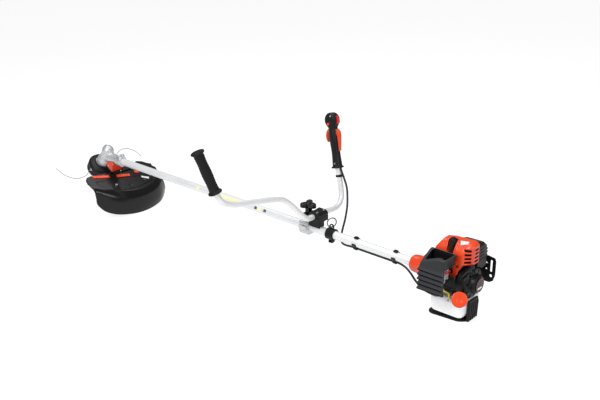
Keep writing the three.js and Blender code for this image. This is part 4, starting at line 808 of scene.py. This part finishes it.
def make_handle_mount():
    for node, look, width in (("handle_clamp", "cast", 1.2), ("handle_base", "black", 1.5),
                              ("hanger_clamp", "black", 1.0)):
        refined(node, look, width)
    for node, x in CLIPS:
        moulded(node + "_fine", lambda p, x=x: clip_field(p, x), (x - 14, -18, -30), (x + 14, 18, 23),
                "black", 0.8, replaces=(node,))
    moulded("handle_top_cap", cap_field, (992, -28, 39), (1077, 28, 72), "black", 0.9,
            replaces=("handle_cap",))
    moulded("handle_clamp_knob", knob_field, (975, -33, 32), (1043, 33, 94), "gloss", 0.9,
            body="clamp_knob", replaces=("clamp_knob",))
    for hand, side in SIDES:
        screw(f"cap_bolt_{hand}", (CAP_BOLT_X, side * CAP_BOLT_Y, CAP_BOLT_FOOT), UP, 4.9, 8.5)
        screw(f"clamp_bolt_{hand}", (KNOB_X - 5, side * 23, -7), -UP, 3.4, 3)
    ring = [(16 + 2.2 * math.cos(a), 2.2 * math.sin(a)) for a in (i * math.pi / 8 for i in range(16))]
    lathe("harness_loop", ring, "ring_steel", (1109, 0, 41.5), RING_LINE, sides=56, fillet=0,
          body="harness_ring", replaces=("hanger_ring",))


# ---- Gear case, trimmer head and shield ----

HEAD_R = 57


def around(p, profile, extra=0.0):
    """Distance to a turned profile of (radius, height) about the Z axis."""
    return outline(circle(p[0], p[1]) - extra, p[2], profile)


def from_shaft(p):
    """Distance along the drive shaft's line and distance from that line, in the head's frame."""
    x, y, z = p
    h = x * SHAFT_LINE.x + z * SHAFT_LINE.z
    return h, np.sqrt(np.maximum(x ** 2 + y ** 2 + z ** 2 - h ** 2, 0))


def case_field(p):
    """Gear case about the head's axis, with the sleeve that clamps the drive tube."""
    x, y, z = p
    body = around(p, [
        (-5, 53), (6, 52.6), (13, 50.5), (19, 46), (22.5, 41), (24.2, 36), (24.8, 31), (24, 25),
        (21.7, 13), (23.5, 0), (29, -19), (29, -33), (-5, -33),
    ])
    h, r = from_shaft(p)
    sleeve = outline(r, h, [
        (-5, 8), (22, 8), (21, 40), (19, 62), (19, 76), (21, 79), (21, 108), (19.5, 109.5), (-5, 109.5),
    ])
    shape = blended(body, sleeve, 7)
    ear_x, ear_z = x - CLAMP_EAR.x, z - CLAMP_EAR.z
    shape = blended(shape, rounded(2, circle(ear_x, ear_z, 8), np.abs(y) - 14), 4)
    rib = rounded(1, np.abs(y) - 1.8, around(p, [
        (-5, 54), (19, 49), (26, 38), (26, 10), (30, -15), (30, -25), (-5, -25)], 0.8), x + 4)
    shape = blended(shape, rib, 2)
    slit = rounded(0.4, np.abs(y) - 1.0, -13 - ear_x * SHAFT_UP.x - ear_z * SHAFT_UP.z, 78 - h)
    shape = without(shape, slit, 0.5)
    socket = np.maximum(r - 14.2, 70 - h)
    return cleared(shape, 0.3, socket, np.maximum(circle(x, y, 13.3), z - 10))


def make_head():
    moulded("bevel_gear_case", case_field, (-33, -33, -35), (112, 33, 78), "cast", 1.0, HEAD,
            replaces=("gear_case",))
    for name, side, rise in (("case_clamp_bolt", -1, 4.6), ("case_clamp_nut", 1, 4)):
        screw(name, CLAMP_EAR + Vector((0, side * 13.4, 0)), (0, side, 0), 4.8, rise, matrix=HEAD)
    screw("grease_plug", Vector((-23.6, -5, 30)), (-1, -0.2, 0), 4.2, 2.2, matrix=HEAD)
    head = dict(matrix=HEAD, along=UP, body="trimmer_head")
    lathe("head_shell", [
        (5.3, -38.5), (38, -38.5), (51, -42.5), (HEAD_R, -50.5), (HEAD_R, -55), (55.6, -56), (55.6, -66),
        (HEAD_R, -67), (HEAD_R, -76), (54, -76), (54, -51.5), (48, -45.5), (9.5, -43.5), (9.5, -68),
        (5.3, -68),
    ], "black", sides=96, fillet=1.4, replaces=("head_body",), wave=(24, 0.9, -75, -57), **head)
    lathe("head_lower_cover", [
        (25, -93), (47, -92), (54, -87), (HEAD_R, -82), (HEAD_R, -76.3), (54, -76.3), (53, -84), (25, -89),
    ], "gloss", sides=96, fillet=1.2, replaces=("head_cover",), **head)
    lathe("head_bump_knob", [(0, -107), (16, -106), (22, -103), (24, -98), (24, -84), (0, -84)], "gloss",
          sides=72, fillet=1.6, replaces=("bump_knob",), wave=(12, 0.8, -100, -85), matrix=HEAD, along=UP,
          body="bump_knob")
    for hand, side in SIDES:
        lathe(f"eyelet_{hand}", [(2.0, 0), (5.4, 0), (5.8, 1.2), (4.4, 2.4), (2.0, 2.4)], "steel",
              (0, side * 55.2, LINE_LEVEL), (0, side, 0), HEAD, 32, 0.5, body="trimmer_head")
    refined("line_spool", "black", 0.4, "trimmer_head")
    refined("line_cutter", "steel", 0.4)


SHIELD_TOP = -12
SHIELD_RIM = -84
SHIELD_WALL = 3
MOUNT_JOINT = -3
DECK_PATCH = [(140, 84), (148, 80), (166, 106), (158, 112)]
SHIELD_FOLD = [
    (131, -147), (158, -107), (182, -62), (200, -15), (210, 35), (208, 85), (194, 133), (166, 172),
]
SHIELD_EDGE = [
    (168, -143), (194, -122), (227, -85), (248, -31), (258, 25), (256, 82), (240, 143), (203, 195),
]
SHIELD_FRONT = [
    (150, 177), (132, 174), (122, 178), (108, 168), (98, 172), (88, 156), (72, 140), (62, 118), (72, 74),
    (83, 20), (77, -19), (68, -67), (62, -118), (64, -137), (74, -149), (92, -153), (112, -150),
]
SHIELD_WINDOWS = [
    [(63, -113), (78, -116), (100, -48), (85, -44)],
    [(94, -13), (109, -17), (125, 41), (110, 45)],
    [(100, 71), (117, 68), (123, 88), (107, 92)],
]


def polar_radius(points):
    """Angles and radii of a run of points round the head's axis, ready for np.interp."""
    path = smooth_path([(x, y, 0) for x, y in points], 8)
    return [math.atan2(p.y, p.x) for p in path], [math.hypot(p.x, p.y) for p in path]


def shield_field(p):
    """Shield: flat deck, flared skirt, raised field on the deck and windows for the insert."""
    x, y, z = p
    angle = np.arctan2(y, x)
    r = circle(x, y)
    fold = np.interp(angle, *polar_radius(SHIELD_FOLD))
    edge = np.interp(angle, *polar_radius(SHIELD_EDGE))
    down = np.clip((SHIELD_TOP - z) / (SHIELD_TOP - SHIELD_RIM), 0, 1)
    flare = 1 - (1 - down) ** 1.7
    wall = (r - fold - (edge - fold) * flare) * 0.9
    front = outline(x, y, SHIELD_FRONT + [(131, -147), (300, -118), (400, 0), (300, 252), (166, 172)])
    outer = rounded(15, wall, z - SHIELD_TOP)
    inner = rounded(12, wall + SHIELD_WALL, z - SHIELD_TOP + SHIELD_WALL)
    shell = without(outer, inner, 0.5)
    rim = rounded(1.2, np.abs(wall + 1.2) - 2.4, slab(z, SHIELD_RIM, SHIELD_RIM + 6))
    shell = blended(shell, rim, 1.5)
    lip = rounded(1.0, np.abs(front + 2) - 2.0, slab(z, SHIELD_TOP - 6, SHIELD_TOP), wall)
    shell = blended(shell, lip, 1.0)
    raised = outline(x, y, [(100, -120), (150, -95), (176, -30), (184, 40), (176, 110), (140, 150),
                            (132, 60), (112, -30)])
    shell = blended(shell, rounded(1.2, raised, slab(z, SHIELD_TOP - 2, SHIELD_TOP + 1.6)), 2.5)
    for x0, y0 in ((150, -60), (166, 10), (160, 80)):
        shell = without(shell, rounded(0.5, circle(x - x0, y - y0, 6), SHIELD_TOP + 0.6 - z), 0.4)
    shell = rounded(0.8, shell, rounded(26, front, SHIELD_RIM - z))
    return cleared(shell, 0.6, *(outline(x, y, window) for window in SHIELD_WINDOWS))


def insert_field(p):
    """Coloured plate under the deck, with grooved pads that stand up through its windows."""
    x, y, z = p
    low = SHIELD_TOP - SHIELD_WALL - 0.3
    base = outline(x, y, [
        (66, -119), (86, -122), (112, -42), (132, 40), (134, 95), (98, 98), (96, 66), (100, 48), (88, -12),
        (78, -42),
    ])
    shape = rounded(0.6, base, slab(z, low - 2, low))
    for window in SHIELD_WINDOWS:
        pad = rounded(1.4, outline(x, y, window) + 1.3, slab(z, low - 1, SHIELD_TOP + 2.5))
        across = (x - window[0][0]) * 0.35 + (y - window[0][1])
        groove = np.abs(across - np.round(across / 9) * 9) - 0.9
        pad = without(pad, np.maximum(groove, SHIELD_TOP + 0.9 - z), 0.4)
        shape = blended(shape, pad, 0.8)
    return shape


def mount_field(p, above):
    """Bracket between the case and the shield: orange above its joint line, black below."""
    x, y, z = p
    side = outline(x, z, [(36, -9.5), (36, 8), (60, 30), (74, 30), (84, -9.5)])
    shape = rounded(3, side, slab(y, -27, 30))
    tongue = box(p, (60, -20, SHIELD_TOP + 0.3), (90, 16, -8), 1)
    shape = blended(shape, tongue, 1)
    _, off_shaft = from_shaft(p)
    shape = cleared(shape, 0.8, circle(x, y, 30), off_shaft - 22.4)
    half = MOUNT_JOINT - z if above else z - MOUNT_JOINT + 0.6
    return rounded(0.8, shape, half)


def make_shield():
    moulded("debris_shield", shield_field, (54, -166, -87), (268, 206, -7), "gloss", 1.25, HEAD,
            replaces=("shield",))
    moulded("shield_colour_insert", insert_field, (58, -128, -21), (140, 102, -7), "orange", 0.9, HEAD,
            replaces=("shield_insert",))
    moulded("deck_patch", lambda p: rounded(0.3, outline(p[0], p[1], DECK_PATCH),
                                            slab(p[2], SHIELD_TOP + 1, SHIELD_TOP + 2.4)),
            (126, 66, -14), (180, 132, -7), "badge", 0.7, HEAD)
    screw("shield_bolt", (142, -45, SHIELD_TOP + 1.4), UP, 4.6, 2.4, matrix=HEAD)
    for name, look, above in (("upper", "orange", True), ("lower", "black", False)):
        moulded(f"shield_bracket_{name}", lambda p, above=above: mount_field(p, above), (30, -33, -14),
                (94, 34, 34), look, 0.9, HEAD, replaces=("shield_mount",) if above else ())
    moulded("bracket_web", lambda p: box(p, (50, 22, -11), (92, 74, -6), 1.5), (47, 19, -14), (95, 77, -3),
            "black", 0.9, HEAD)
    screw("mount_bolt", (52, -27, 6), (0, -1, 0), 3.2, 2.0, matrix=HEAD)


# ---- Engine ----

BORE_X = 1585.5
FAN_R = 53
RECOIL_R = 50
BOOT_TOP = (BORE_X - 1, -22, 126)
BOOT_LOW = (BORE_X + 1, -42, 100)
CAP_FACE = Vector((1652, -81, -22))
CAP_LINE = Vector((0.45, -0.75, 0.48)).normalized()
HOSE_FOOT = (1596, -48)
CAP_R = 24
CAP_DEPTH = 17
HANDLE_SEAT = Vector((1647, -40.5, 53.5))
PULL_LINE = Vector((0, -0.92, 0.38)).normalized()
BAR_LINE = Vector((0.58, 0.311, 0.752)).normalized()


def shaft_radius(p):
    return circle(p[1], p[2])


def fan_room(p, gap, end):
    """Room for the fan's case, in front of where it ends."""
    return np.maximum(shaft_radius(p) - FAN_R - gap, p[0] - end)


def recoil_room(p, gap, start):
    """Room for the starter's case, behind where it starts."""
    return np.maximum(shaft_radius(p) - RECOIL_R - gap, start - p[0])


def cover_form(p, t):
    """The engine cover's outside, moved inwards by t."""
    x, y, z = p
    front, rear, left = 1516 + t, 1657 - t, -45 + t
    side = outline(x, z, [(front, -60), (front, 74), (1549 + t, 124 - t), (1576, 130 - t), (1640, 134 - t),
                          (rear, 126 - t), (rear, -60)])
    plan = outline(x, y, [(front, 90), (front, -24), (1536 + t, left), (1628 - t / 2, left),
                          (rear, -18 + t / 2), (rear, 90)])
    end = outline(y, z, [(left, -60), (left, 96 - t / 2), (-22, 131 - t), (10, 138 - t), (90, 138 - t),
                         (90, -60)])
    return rounded(9 - t, side, plan, end)


def cover_limits(p):
    """Open lower edge of the engine cover and its joint with the muffler cover."""
    x, y, z = p
    bottom = outline(x, z, [(1500, 4), (1608, 4), (1612, 24), (1619, 44), (1632, 67), (1670, 67),
                            (1670, 200), (1500, 200)])
    return rounded(0.8, bottom, y - 10)


def boot_room(p, extra):
    """Recess round the spark plug's boot, open outwards and upwards."""
    room = None
    for step in range(3):
        shift = Vector((0, -7, 6)) * step
        reach = pill(p, Vector(BOOT_TOP) + shift, Vector(BOOT_LOW) + shift, 14.5 + extra, 11.5 + extra)
        room = reach if room is None else np.minimum(room, reach)
    return room


def cover_liner_field(p):
    """Dark sheet close inside the cover, seen through its slots: painted shade that makes the slots read
    dark.
    """
    x, y, z = p
    shell = rounded(0.4, cover_form(p, 5.5), -cover_form(p, 6.9))
    shell = rounded(0.4, shell, y - 8, 69 - z, 1600 - x)
    return without(shell, boot_room(p, 1), 0.4)


def engine_cover_field(p):
    """Engine cover with its plug recess, rear hood, crease and rows of slots."""
    x, y, z = p
    outer = cover_form(p, 0)
    rim = pill(p, BOOT_TOP, BOOT_LOW, 19, 15.5)
    rim = np.maximum(rim, outer - 3.2)
    shape = blended(outer, rim, 2)
    hood = rounded(1.2, slab(x, 1630, 1652), np.abs(y + 33) - 30, z - 121, 66 - z, outer - 1.1, -outer - 4)
    shape = blended(shape, hood, 2)
    crease = rounded(1, np.abs(z - 0.19 * x + 218) - 1.1, 1556 - x, x - 1622, -outer - 1.6)
    shape = without(shape, crease, 0.8)
    shape = without(shape, cover_form(p, 2.5), 0.5)
    pocket = rounded(0.6, boot_room(p, 2.0), outer + 0.4, 92 - z, y - 8)
    shape = without(blended(shape, pocket, 1), boot_room(p, 0), 1.2)
    shape = without(shape, box(p, (BORE_X - 14, -60, 30), (BORE_X + 14, -30, 78), 3), 0.8)
    shape = without(shape, pill(p, BOOT_LOW, (BORE_X + 12, -38, 78), 5), 0.8)
    u = (x - 1643 + y + 33) * 0.7071
    v = (y + 33 - x + 1643) * 0.7071
    for i in range(4):
        z0 = 76 + i * 12
        corner = rounded(1.5, np.abs(v) - 15, np.abs(u) - 10, np.abs(z - z0) - 3.4)
        rear = rounded(1.5, slab(y, -14, 6), np.abs(z - z0) - 3, 1648 - x)
        shape = without(without(shape, corner, 0.8), rear, 0.8)
    shape = cleared(shape, 0.6, fan_room(p, 1.5, 1560), recoil_room(p, 1, 1610))
    return rounded(0.8, shape, cover_limits(p))


def cover_patch_field(p):
    """Thin blank plate stuck on the cover's top."""
    x, y, z = p
    plan = outline(x, y, [(1604, -14), (1612, -28), (1634, -22), (1630, -8)])
    return rounded(0.3, np.abs(cover_form(p, 0) - 0.3) - 0.6, plan, 110 - z)


def muffler_form(p, t):
    """The muffler cover's outside, moved inwards by t."""
    x, y, z = p
    front, rear, right = 1558 + t, 1655 - t, 87 - t
    side = outline(x, z, [(front, -60), (front, 94), (1582, 117 - t), (1638, 124 - t), (rear, 112),
                          (rear, -60)])
    plan = outline(x, y, [(front, -80), (front, 72), (1572, right), (1630, right), (1648 - t, 72),
                          (rear, 44), (rear, -80)])
    end = outline(y, z, [(-80, -60), (-80, 128 - t), (10, 128 - t), (30, 125 - t), (58, 113 - t),
                         (79 - t, 92), (right, 66), (right, -60)])
    return rounded(12 - t, side, plan, end)


def muffler_cover_field(p):
    """Ribbed cover over the muffler, with three slots in its right side."""
    x, y, z = p
    outer = muffler_form(p, 0)
    ribs = np.abs(z - np.round((z - 100) / 11) * 11 - 100) - 2.2
    ribs = rounded(1, ribs, outer - 2.2, -outer - 3, slab(x, 1572, 1662), slab(z, 60, 108), 24 - y)
    shape = blended(outer, ribs, 1.5)
    shape = without(shape, muffler_form(p, 2.5), 0.5)
    slots = (box(p, (x0, 76, 66), (x0 + 7, 98, 80), 1.5) for x0 in (1585, 1599, 1613))
    shape = cleared(shape, 0.8, *slots)
    shape = cleared(shape, 0.6, np.maximum(circle(x - BORE_X, y, 34), z - 112), recoil_room(p, 1, 1610))
    return rounded(0.8, shape, 10.3 - y, 36 - z)


def air_box_field(p):
    """Air cleaner's box: toothed front and left faces, sloping top, rooms for its neighbours."""
    x, y, z = p
    front, left, floor, top, thick = 1530, -116, -14, 101, 2.5
    pitch, deep = 15.5, 5.4
    tooth = np.interp((z + 13) % pitch, [0, 1.5, 4.0, 14.5, pitch], [0, deep, deep, 0, 0])
    tooth = tooth * (z > -13) * (z < 66)
    wall = rounded(5, front - tooth - x, x - 1616, left - tooth - y, y + 50)
    shape = rounded(2.0, wall, floor - z, z - top)
    normal = Vector((-36 / 86, -36 / 70, 1)).normalized()
    slope = (x - 1608) * normal.x + (y + 124) * normal.y + (z - top) * normal.z
    shape = rounded(2.0, shape, slope)
    corner = (front + thick, left + thick, floor + thick)
    inner = rounded(1, box(p, corner, (1613.5, -52.5, top - thick), 3), slope + thick)
    rear = box(p, (1606, *corner[1:]), (1640, -52.5, 70), 2)
    mouth = box(p, (1542, -104, 60), (1610, -54, 130), 4)
    side_room = box(p, (1562, -56, 28), (1640, -45, 84), 1)
    floor_room = box(p, (1577, -108, -19), (1640, -58, -9), 1)
    shape = without(shape, inner, 0.5)
    return cleared(shape, 0.9, rear, mouth, side_room, floor_room, fan_room(p, 1, 1560))


def recoil_field(p):
    """Starter's case with its ring of slots, star disc and rope guide."""
    x, y, z = p
    r = shaft_radius(p)
    shape = outline(r, x, [
        (47, 1618), (50, 1618), (50, 1641), (49, 1645.5), (44, 1651), (40, 1652), (33, 1652), (30.5, 1653.5),
        (29, 1662), (27.5, 1666), (24, 1669), (-6, 1669), (-6, 1664), (21, 1664), (25, 1650), (42, 1648),
        (47, 1641),
    ])
    a = np.arctan2(z, y)
    share = 2 * math.pi / 10
    spoke = np.round((a - 2.9) / share) * share + 2.9
    slot = np.abs((a - spoke) * 40) - 2.4
    slot = rounded(1.2, slot, np.abs(r - 39.5) - 5.0, 1640 - x)
    shape = without(shape, slot, 0.6)
    star = np.abs(((a * 5 / math.pi) % 2) - 1) * 5
    shape = blended(shape, rounded(0.8, r - 16 - star, slab(x, 1660, 1671)), 1)
    post = rounded(0.5, r - 5, slab(x, 1640, 1666))
    guide = rod(p, HANDLE_SEAT - PULL_LINE * 18, HANDLE_SEAT - PULL_LINE * 7.4, 7, ease=1.5)
    guide = np.maximum(guide, 40 - r)
    shape = blended(np.minimum(shape, post), guide, 3)
    rope = rod(p, HANDLE_SEAT - PULL_LINE * 60, HANDLE_SEAT, 2.6, ease=0.1)
    return without(shape, rope, 0.6)


def tank_field(p):
    """Fuel tank with its seam, filler neck and rooms for the parts above it."""
    x, y, z = p
    side = outline(x, z, [
        (1528, -94), (1536, -106), (1548, -112), (1628, -112), (1640, -106), (1646, -92), (1646, -60),
        (1632, -44), (1540, -42), (1528, -54),
    ])
    plan = box((x, y), (1527, -55), (1648, 62), 24)
    end = box((y, z), (-55, -113), (62, -42), 24)
    body = rounded(10, side, plan, end)
    seam = rounded(0.4, np.abs(z + 79) - 0.7, body - 0.8)
    body = blended(body, seam, 0.8)
    cap_room = rod(p, CAP_FACE - CAP_LINE * 17.6, CAP_FACE + CAP_LINE * 10, CAP_R + 1.2)
    body = without(body, cap_room, 2)
    neck = rod(p, CAP_FACE - CAP_LINE * 50, CAP_FACE - CAP_LINE * 5, 17)
    body = blended(body, neck, 1)
    body = cleared(body, 2, recoil_room(p, 3, 1612), fan_room(p, 3, 1558))
    hose = np.maximum(circle(x - HOSE_FOOT[0], y - HOSE_FOOT[1], 3.6), -60 - z)
    return without(body, hose, 0.6)


def ground_at(x):
    """Height of the ground under the stand, in the machine's frame."""
    return -208.47 + (x - 94) * math.tan(GROUND_TILT)


def stand_field(p):
    """Stand under the tank: base with rounded rear, ribbed upright, props and front leg."""
    x, y, z = p
    x0, x1, half = 1513, 1652, 38
    ground = ground_at(x)
    plan = np.maximum(box((x, y), (x0, -half), (x1, half), 24),
                      box((x, y), (x0 - 60, -half), (x1, half), 37))
    base = rounded(1.2, plan, ground - z, z - ground - 5)
    window = box((x, y), (x0 + 22, -half + 12), (x1 - 26, half - 12), 10)
    groove = rounded(0.5, window, ground + 4 - z)
    base = without(base, groove, 0.5)
    foot = ground_at(x1)
    lean = x1 + (z - foot) * 3 / (-52 - foot)
    upright = rounded(1.2, np.abs(x - lean + 3) - 3, slab(y, -24, 26), z + 52, foot + 1 - z)
    shape = blended(base, upright, 4)
    for y0 in (-20, -9, 2, 13, 24):
        face = np.interp(z, [foot, foot + 4, -66, -54], [x1 + 3, x1 + 4, x1 + 6, x1 + 3])
        rib = rounded(0.9, np.abs(y - y0) - 2, x - face, x1 - 6 - x, foot + 2 - z, z + 54)
        shape = blended(shape, rib, 1.5)
    for x2 in (1550, 1625):
        prop = rounded(1.5, slab(x, x2 - 6, x2 + 6), slab(y, -30, 30), ground + 3 - z, z + 113.3)
        shape = blended(shape, prop, 2)
    leg = rounded(1, slab(x, x0, x0 + 5), slab(y, 6, 24), ground + 2 - z, z + 58)
    shelf = box(p, (1500, 6, -62.4), (x0 + 5, 24, -57.8), 1)
    return blended(blended(shape, leg, 2), shelf, 2)


def boot_field(p):
    """Spark plug's boot, with rings along it and the start of its lead."""
    shape = blended(ball(p, BOOT_TOP, 12.2), pill(p, BOOT_TOP, BOOT_LOW, 11, 4.6), 2)
    path = smooth_path([BOOT_LOW, (BORE_X + 4, -41, 92), (BORE_X + 10, -37, 82), (BORE_X + 16, -35, 70)], 3)
    for a, b in zip(path, path[1:]):
        shape = blended(shape, pill(p, a, b, 3.4), 1.0)
    axis = (Vector(BOOT_LOW) - Vector(BOOT_TOP)).normalized()
    h = height_along(p, BOOT_TOP, axis)
    ring = np.abs(h - np.round(h / 6) * 6) - 0.9
    shape = without(shape, np.maximum(np.maximum(ring, 14 - h), -(shape + 0.7)), 0.5)
    foot = Vector((BORE_X, -9, 98))
    line = Vector((0, -0.42, 0.907)).normalized()
    return without(shape, rod(p, foot, foot + line * 20, 9.6, ease=0.2), 0.4)


def make_covers():
    moulded("upper_engine_cover", engine_cover_field, (1512, -52, 1), (1661, 12, 142), "orange", 1.0,
            replaces=("engine_cover",))
    moulded("cover_top_patch", cover_patch_field, (1602, -34, 118), (1644, 0, 140), "badge", 0.7)
    # Painted shade: a black sheet just inside the cover, so that its slots read dark.
    moulded("cover_shade_liner", cover_liner_field, (1590, -48, 66), (1660, 10, 140), "black", 1.1)
    moulded("muffler_dome", muffler_cover_field, (1555, 8, 33), (1659, 91, 132), "black", 1.1,
            replaces=("muffler_cover",))
    moulded("air_cleaner_box", air_box_field, (1524, -121, -17), (1619, -47, 104), "box", 1.0,
            replaces=("air_cleaner_cover",))
    # Painted shade: a dull black sheet inside the air box, seen through its top opening, stands in for the
    # shade inside it.
    moulded("air_box_shade_sheet", lambda p: box(p, (1536, -57.5, 50), (1606, -55, 97), 0.8), (1534, -60, 48),
            (1609, -52, 100), "dark", 1.0)
    lathe("air_cleaner_cap_knob", [
        (0, 56.3), (3, 56.3), (3, 72), (13, 72), (13, 76), (11.5, 78), (11.5, 86), (9.5, 88.5), (0, 89),
    ], "gloss", (1580, -82, 0), UP, sides=72, wave=(6, 1.8, 77, 90), body="air_cleaner_knob",
        replaces=("air_cleaner_knob",))
    moulded("spark_plug_cap", boot_field, (BORE_X - 14, -52, 65), (BORE_X + 22, -8, 139), "rubber", 0.8,
            replaces=("plug_boot",))
    for i, (at, along) in enumerate([((1528, -34, 62), (-0.5, -1, 0)), ((1616, -45.2, 60), (0, -1, 0))]):
        screw(f"cover_screw_{i + 1}", at, along, 3.6, 2.0, "black_metal")


def make_starter():
    moulded("recoil_starter_case", recoil_field, (1615, -70, -54), (1674, 54, 66), "black", 1.0,
            replaces=("recoil_housing",))
    profile = [(0, 0), (4.5, 0.5), (7, 4), (6, 17), (6.6, 27), (6, 37), (7, 50), (4.5, 53.5), (0, 54)]
    low = HANDLE_SEAT - BAR_LINE * 27
    where = dict(body="starter_handle")
    lathe("starter_grip", profile, "gloss", low, BAR_LINE, sides=48, fillet=3, replaces=("starter_handle",),
          **where)
    lathe("starter_grip_collar", [(0, 0), (6.6, 0), (6.6, 3), (5.6, 4.5), (5.6, 6.8), (0, 6.8)], "black",
          HANDLE_SEAT, -PULL_LINE, sides=40, fillet=0.6, **where)
    sweep("starter_rope", [HANDLE_SEAT, HANDLE_SEAT - PULL_LINE * 26, HANDLE_SEAT - PULL_LINE * 51.6], 1.9,
          "rubber", 14, 3, **where)
    refined("starter_reel", "black", 0.3, "starter_reel")
    disc = dict(at=(1670.6, 0, 0), along=BACK, sides=72, fillet=0.2)
    lathe("starter_disc_badge", [(0, 0), (23, 0), (23, 0.6), (22.3, 1.0), (0, 1.0)], "gloss", **disc)
    lathe("starter_disc_ring", [(18.6, 0.9), (20, 0.9), (20, 1.3), (18.6, 1.3)], "badge_red", **disc)
    moulded("starter_disc_plate", lambda p: box(p, (1671, -13, -12), (1672.2, 9, -6), 0.5), (1669, -15, -14),
            (1674, 11, -4), "badge", 0.5)


def make_engine():
    lathe("clutch_neck", [
        (14.3, 1431), (21, 1431), (26, 1436), (28, 1446), (29.5, 1462), (33, 1473), (46, 1486), (53, 1496),
        (53, 1512), (46, 1512), (46, 1493), (44, 1479), (13, 1477), (9.5, 1474), (9.5, 1461.3),
        (14.3, 1461.3),
    ], "orange", sides=96, fillet=2.5, replaces=("clutch_housing",))
    lathe("fan_case", [
        (24, 1512.3), (53, 1512.3), (53, 1555), (50, 1555), (50, 1515.5), (24, 1515.5),
    ], "black", sides=96, fillet=0.8, replaces=("fan_housing",))
    moulded("fuel_tank_shell", tank_field, (1524, -84, -116), (1660, 65, -22), "white", 1.3,
            replaces=("fuel_tank",))
    profile = [
        (0, -2.0), (7, -2.0), (9, -0.4), (CAP_R - 4, -0.4), (CAP_R - 1, -0.8), (CAP_R, -3),
        (CAP_R, -CAP_DEPTH), (18, -CAP_DEPTH), (18, -4.5), (13, -4.5), (13, -14), (0, -14),
    ]
    lathe("filler_cap", profile, "orange", CAP_FACE, CAP_LINE, sides=120, fillet=1.0, body="fuel_cap",
          replaces=("fuel_cap",), wave=(20, 1.5, -16, -2.2))
    sweep("fuel_line", [
        (*HOSE_FOOT, -50), (*HOSE_FOOT, -36), (1597, -60, -26), (1595, -76, -14), (1588, -81, 0),
        (1588, -81, 13.3),
    ], 2.8, "hose", 18, 8, replaces=("fuel_hose",))
    moulded("engine_stand", stand_field, (1497, -41, -136), (1669, 41, -49), "black", 1.2,
            replaces=("tank_stand",))
    for node, look, width in (
        ("crankcase", "black_metal", 1.6), ("cylinder", "cast", 0.4), ("muffler", "steel", 1.5),
        ("muffler_guard", "black_metal", 0.8), ("carburettor", "cast", 1.2), ("air_filter", "foam", 1.5),
        ("spark_plug", "steel", 0.3),
    ):
        refined(node, look, width)
    refined("choke_lever", "red", 0.6, "choke_lever")
    for i, z in enumerate((28, 50)):
        screw(f"carburettor_screw_{i + 1}", (1600, -74, z), BACK, 3.4, 3.4)


INSIDE = {
    "drive_shaft": "steel", "shaft_bushing": "rubber", "bevel_pinion": "steel", "output_gear": "steel",
    "output_shaft": "steel", "clutch_drum": "steel", "clutch_shoes": "steel", "flywheel": "cast",
    "crankshaft": "steel", "piston": "tube",
}


def dress_inside():
    """Working parts inside the housings keep their CAD shape."""
    for node, look in INSIDE.items():
        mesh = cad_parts[node].data
        if mesh.materials:
            mesh.materials[0] = MATERIALS[look]
        else:
            mesh.materials.append(MATERIALS[look])


# ---- Floor and light ----

def make_floor():
    half, level = 30, -0.0005
    corners = [(-half, -half, level), (half, -half, level), (half, half, level), (-half, half, level)]
    mesh = bpy.data.meshes.new("floor")
    mesh.from_pydata(corners, [], [(0, 1, 2, 3)])
    look = surface("floor", (0.25, 0.25, 0.25), 0.65, 0.0, 0.01, 30, 0.1)
    shader = look.node_tree.nodes["Principled BSDF"]
    shader.inputs["Emission Color"].default_value = (1, 1, 1, 1)
    shader.inputs["Emission Strength"].default_value = 0.86
    mesh.materials.append(look)
    floor = bpy.data.objects.new("floor", mesh)
    SCENE.objects.link(floor)


def area_light(name, at, target, size, power):
    data = bpy.data.lights.new(name, "AREA")
    data.shape = "SQUARE"
    data.size = size
    data.energy = power
    light = bpy.data.objects.new(name, data)
    SCENE.objects.link(light)
    light.location = at
    light.rotation_euler = (Vector(target) - Vector(at)).to_track_quat("-Z", "Y").to_euler()


def make_light():
    bpy.context.scene.view_settings.view_transform = "Standard"
    world = bpy.data.worlds.new("studio")
    bpy.context.scene.world = world
    world.use_nodes = True
    background = world.node_tree.nodes["Background"]
    background.inputs["Color"].default_value = (1, 1, 1, 1)
    background.inputs["Strength"].default_value = 0.26
    area_light("key", (0.6, -2.8, 3.0), (0.2, 0, 0.1), 1.8, 105)
    area_light("fill", (3.0, -0.6, 1.6), (0.6, 0, 0.1), 1.2, 22)
    area_light("top", (-0.4, 0.8, 3.2), (0, 0, 0), 2.2, 55)


make_camera()
nylon_line("line_left", LEFT_LINE)
nylon_line("line_right", RIGHT_LINE)
make_tube()
make_left_grip()
make_throttle_grip()
make_handle_mount()
make_head()
make_shield()
make_covers()
make_starter()
make_engine()
dress_inside()
make_floor()
make_light()
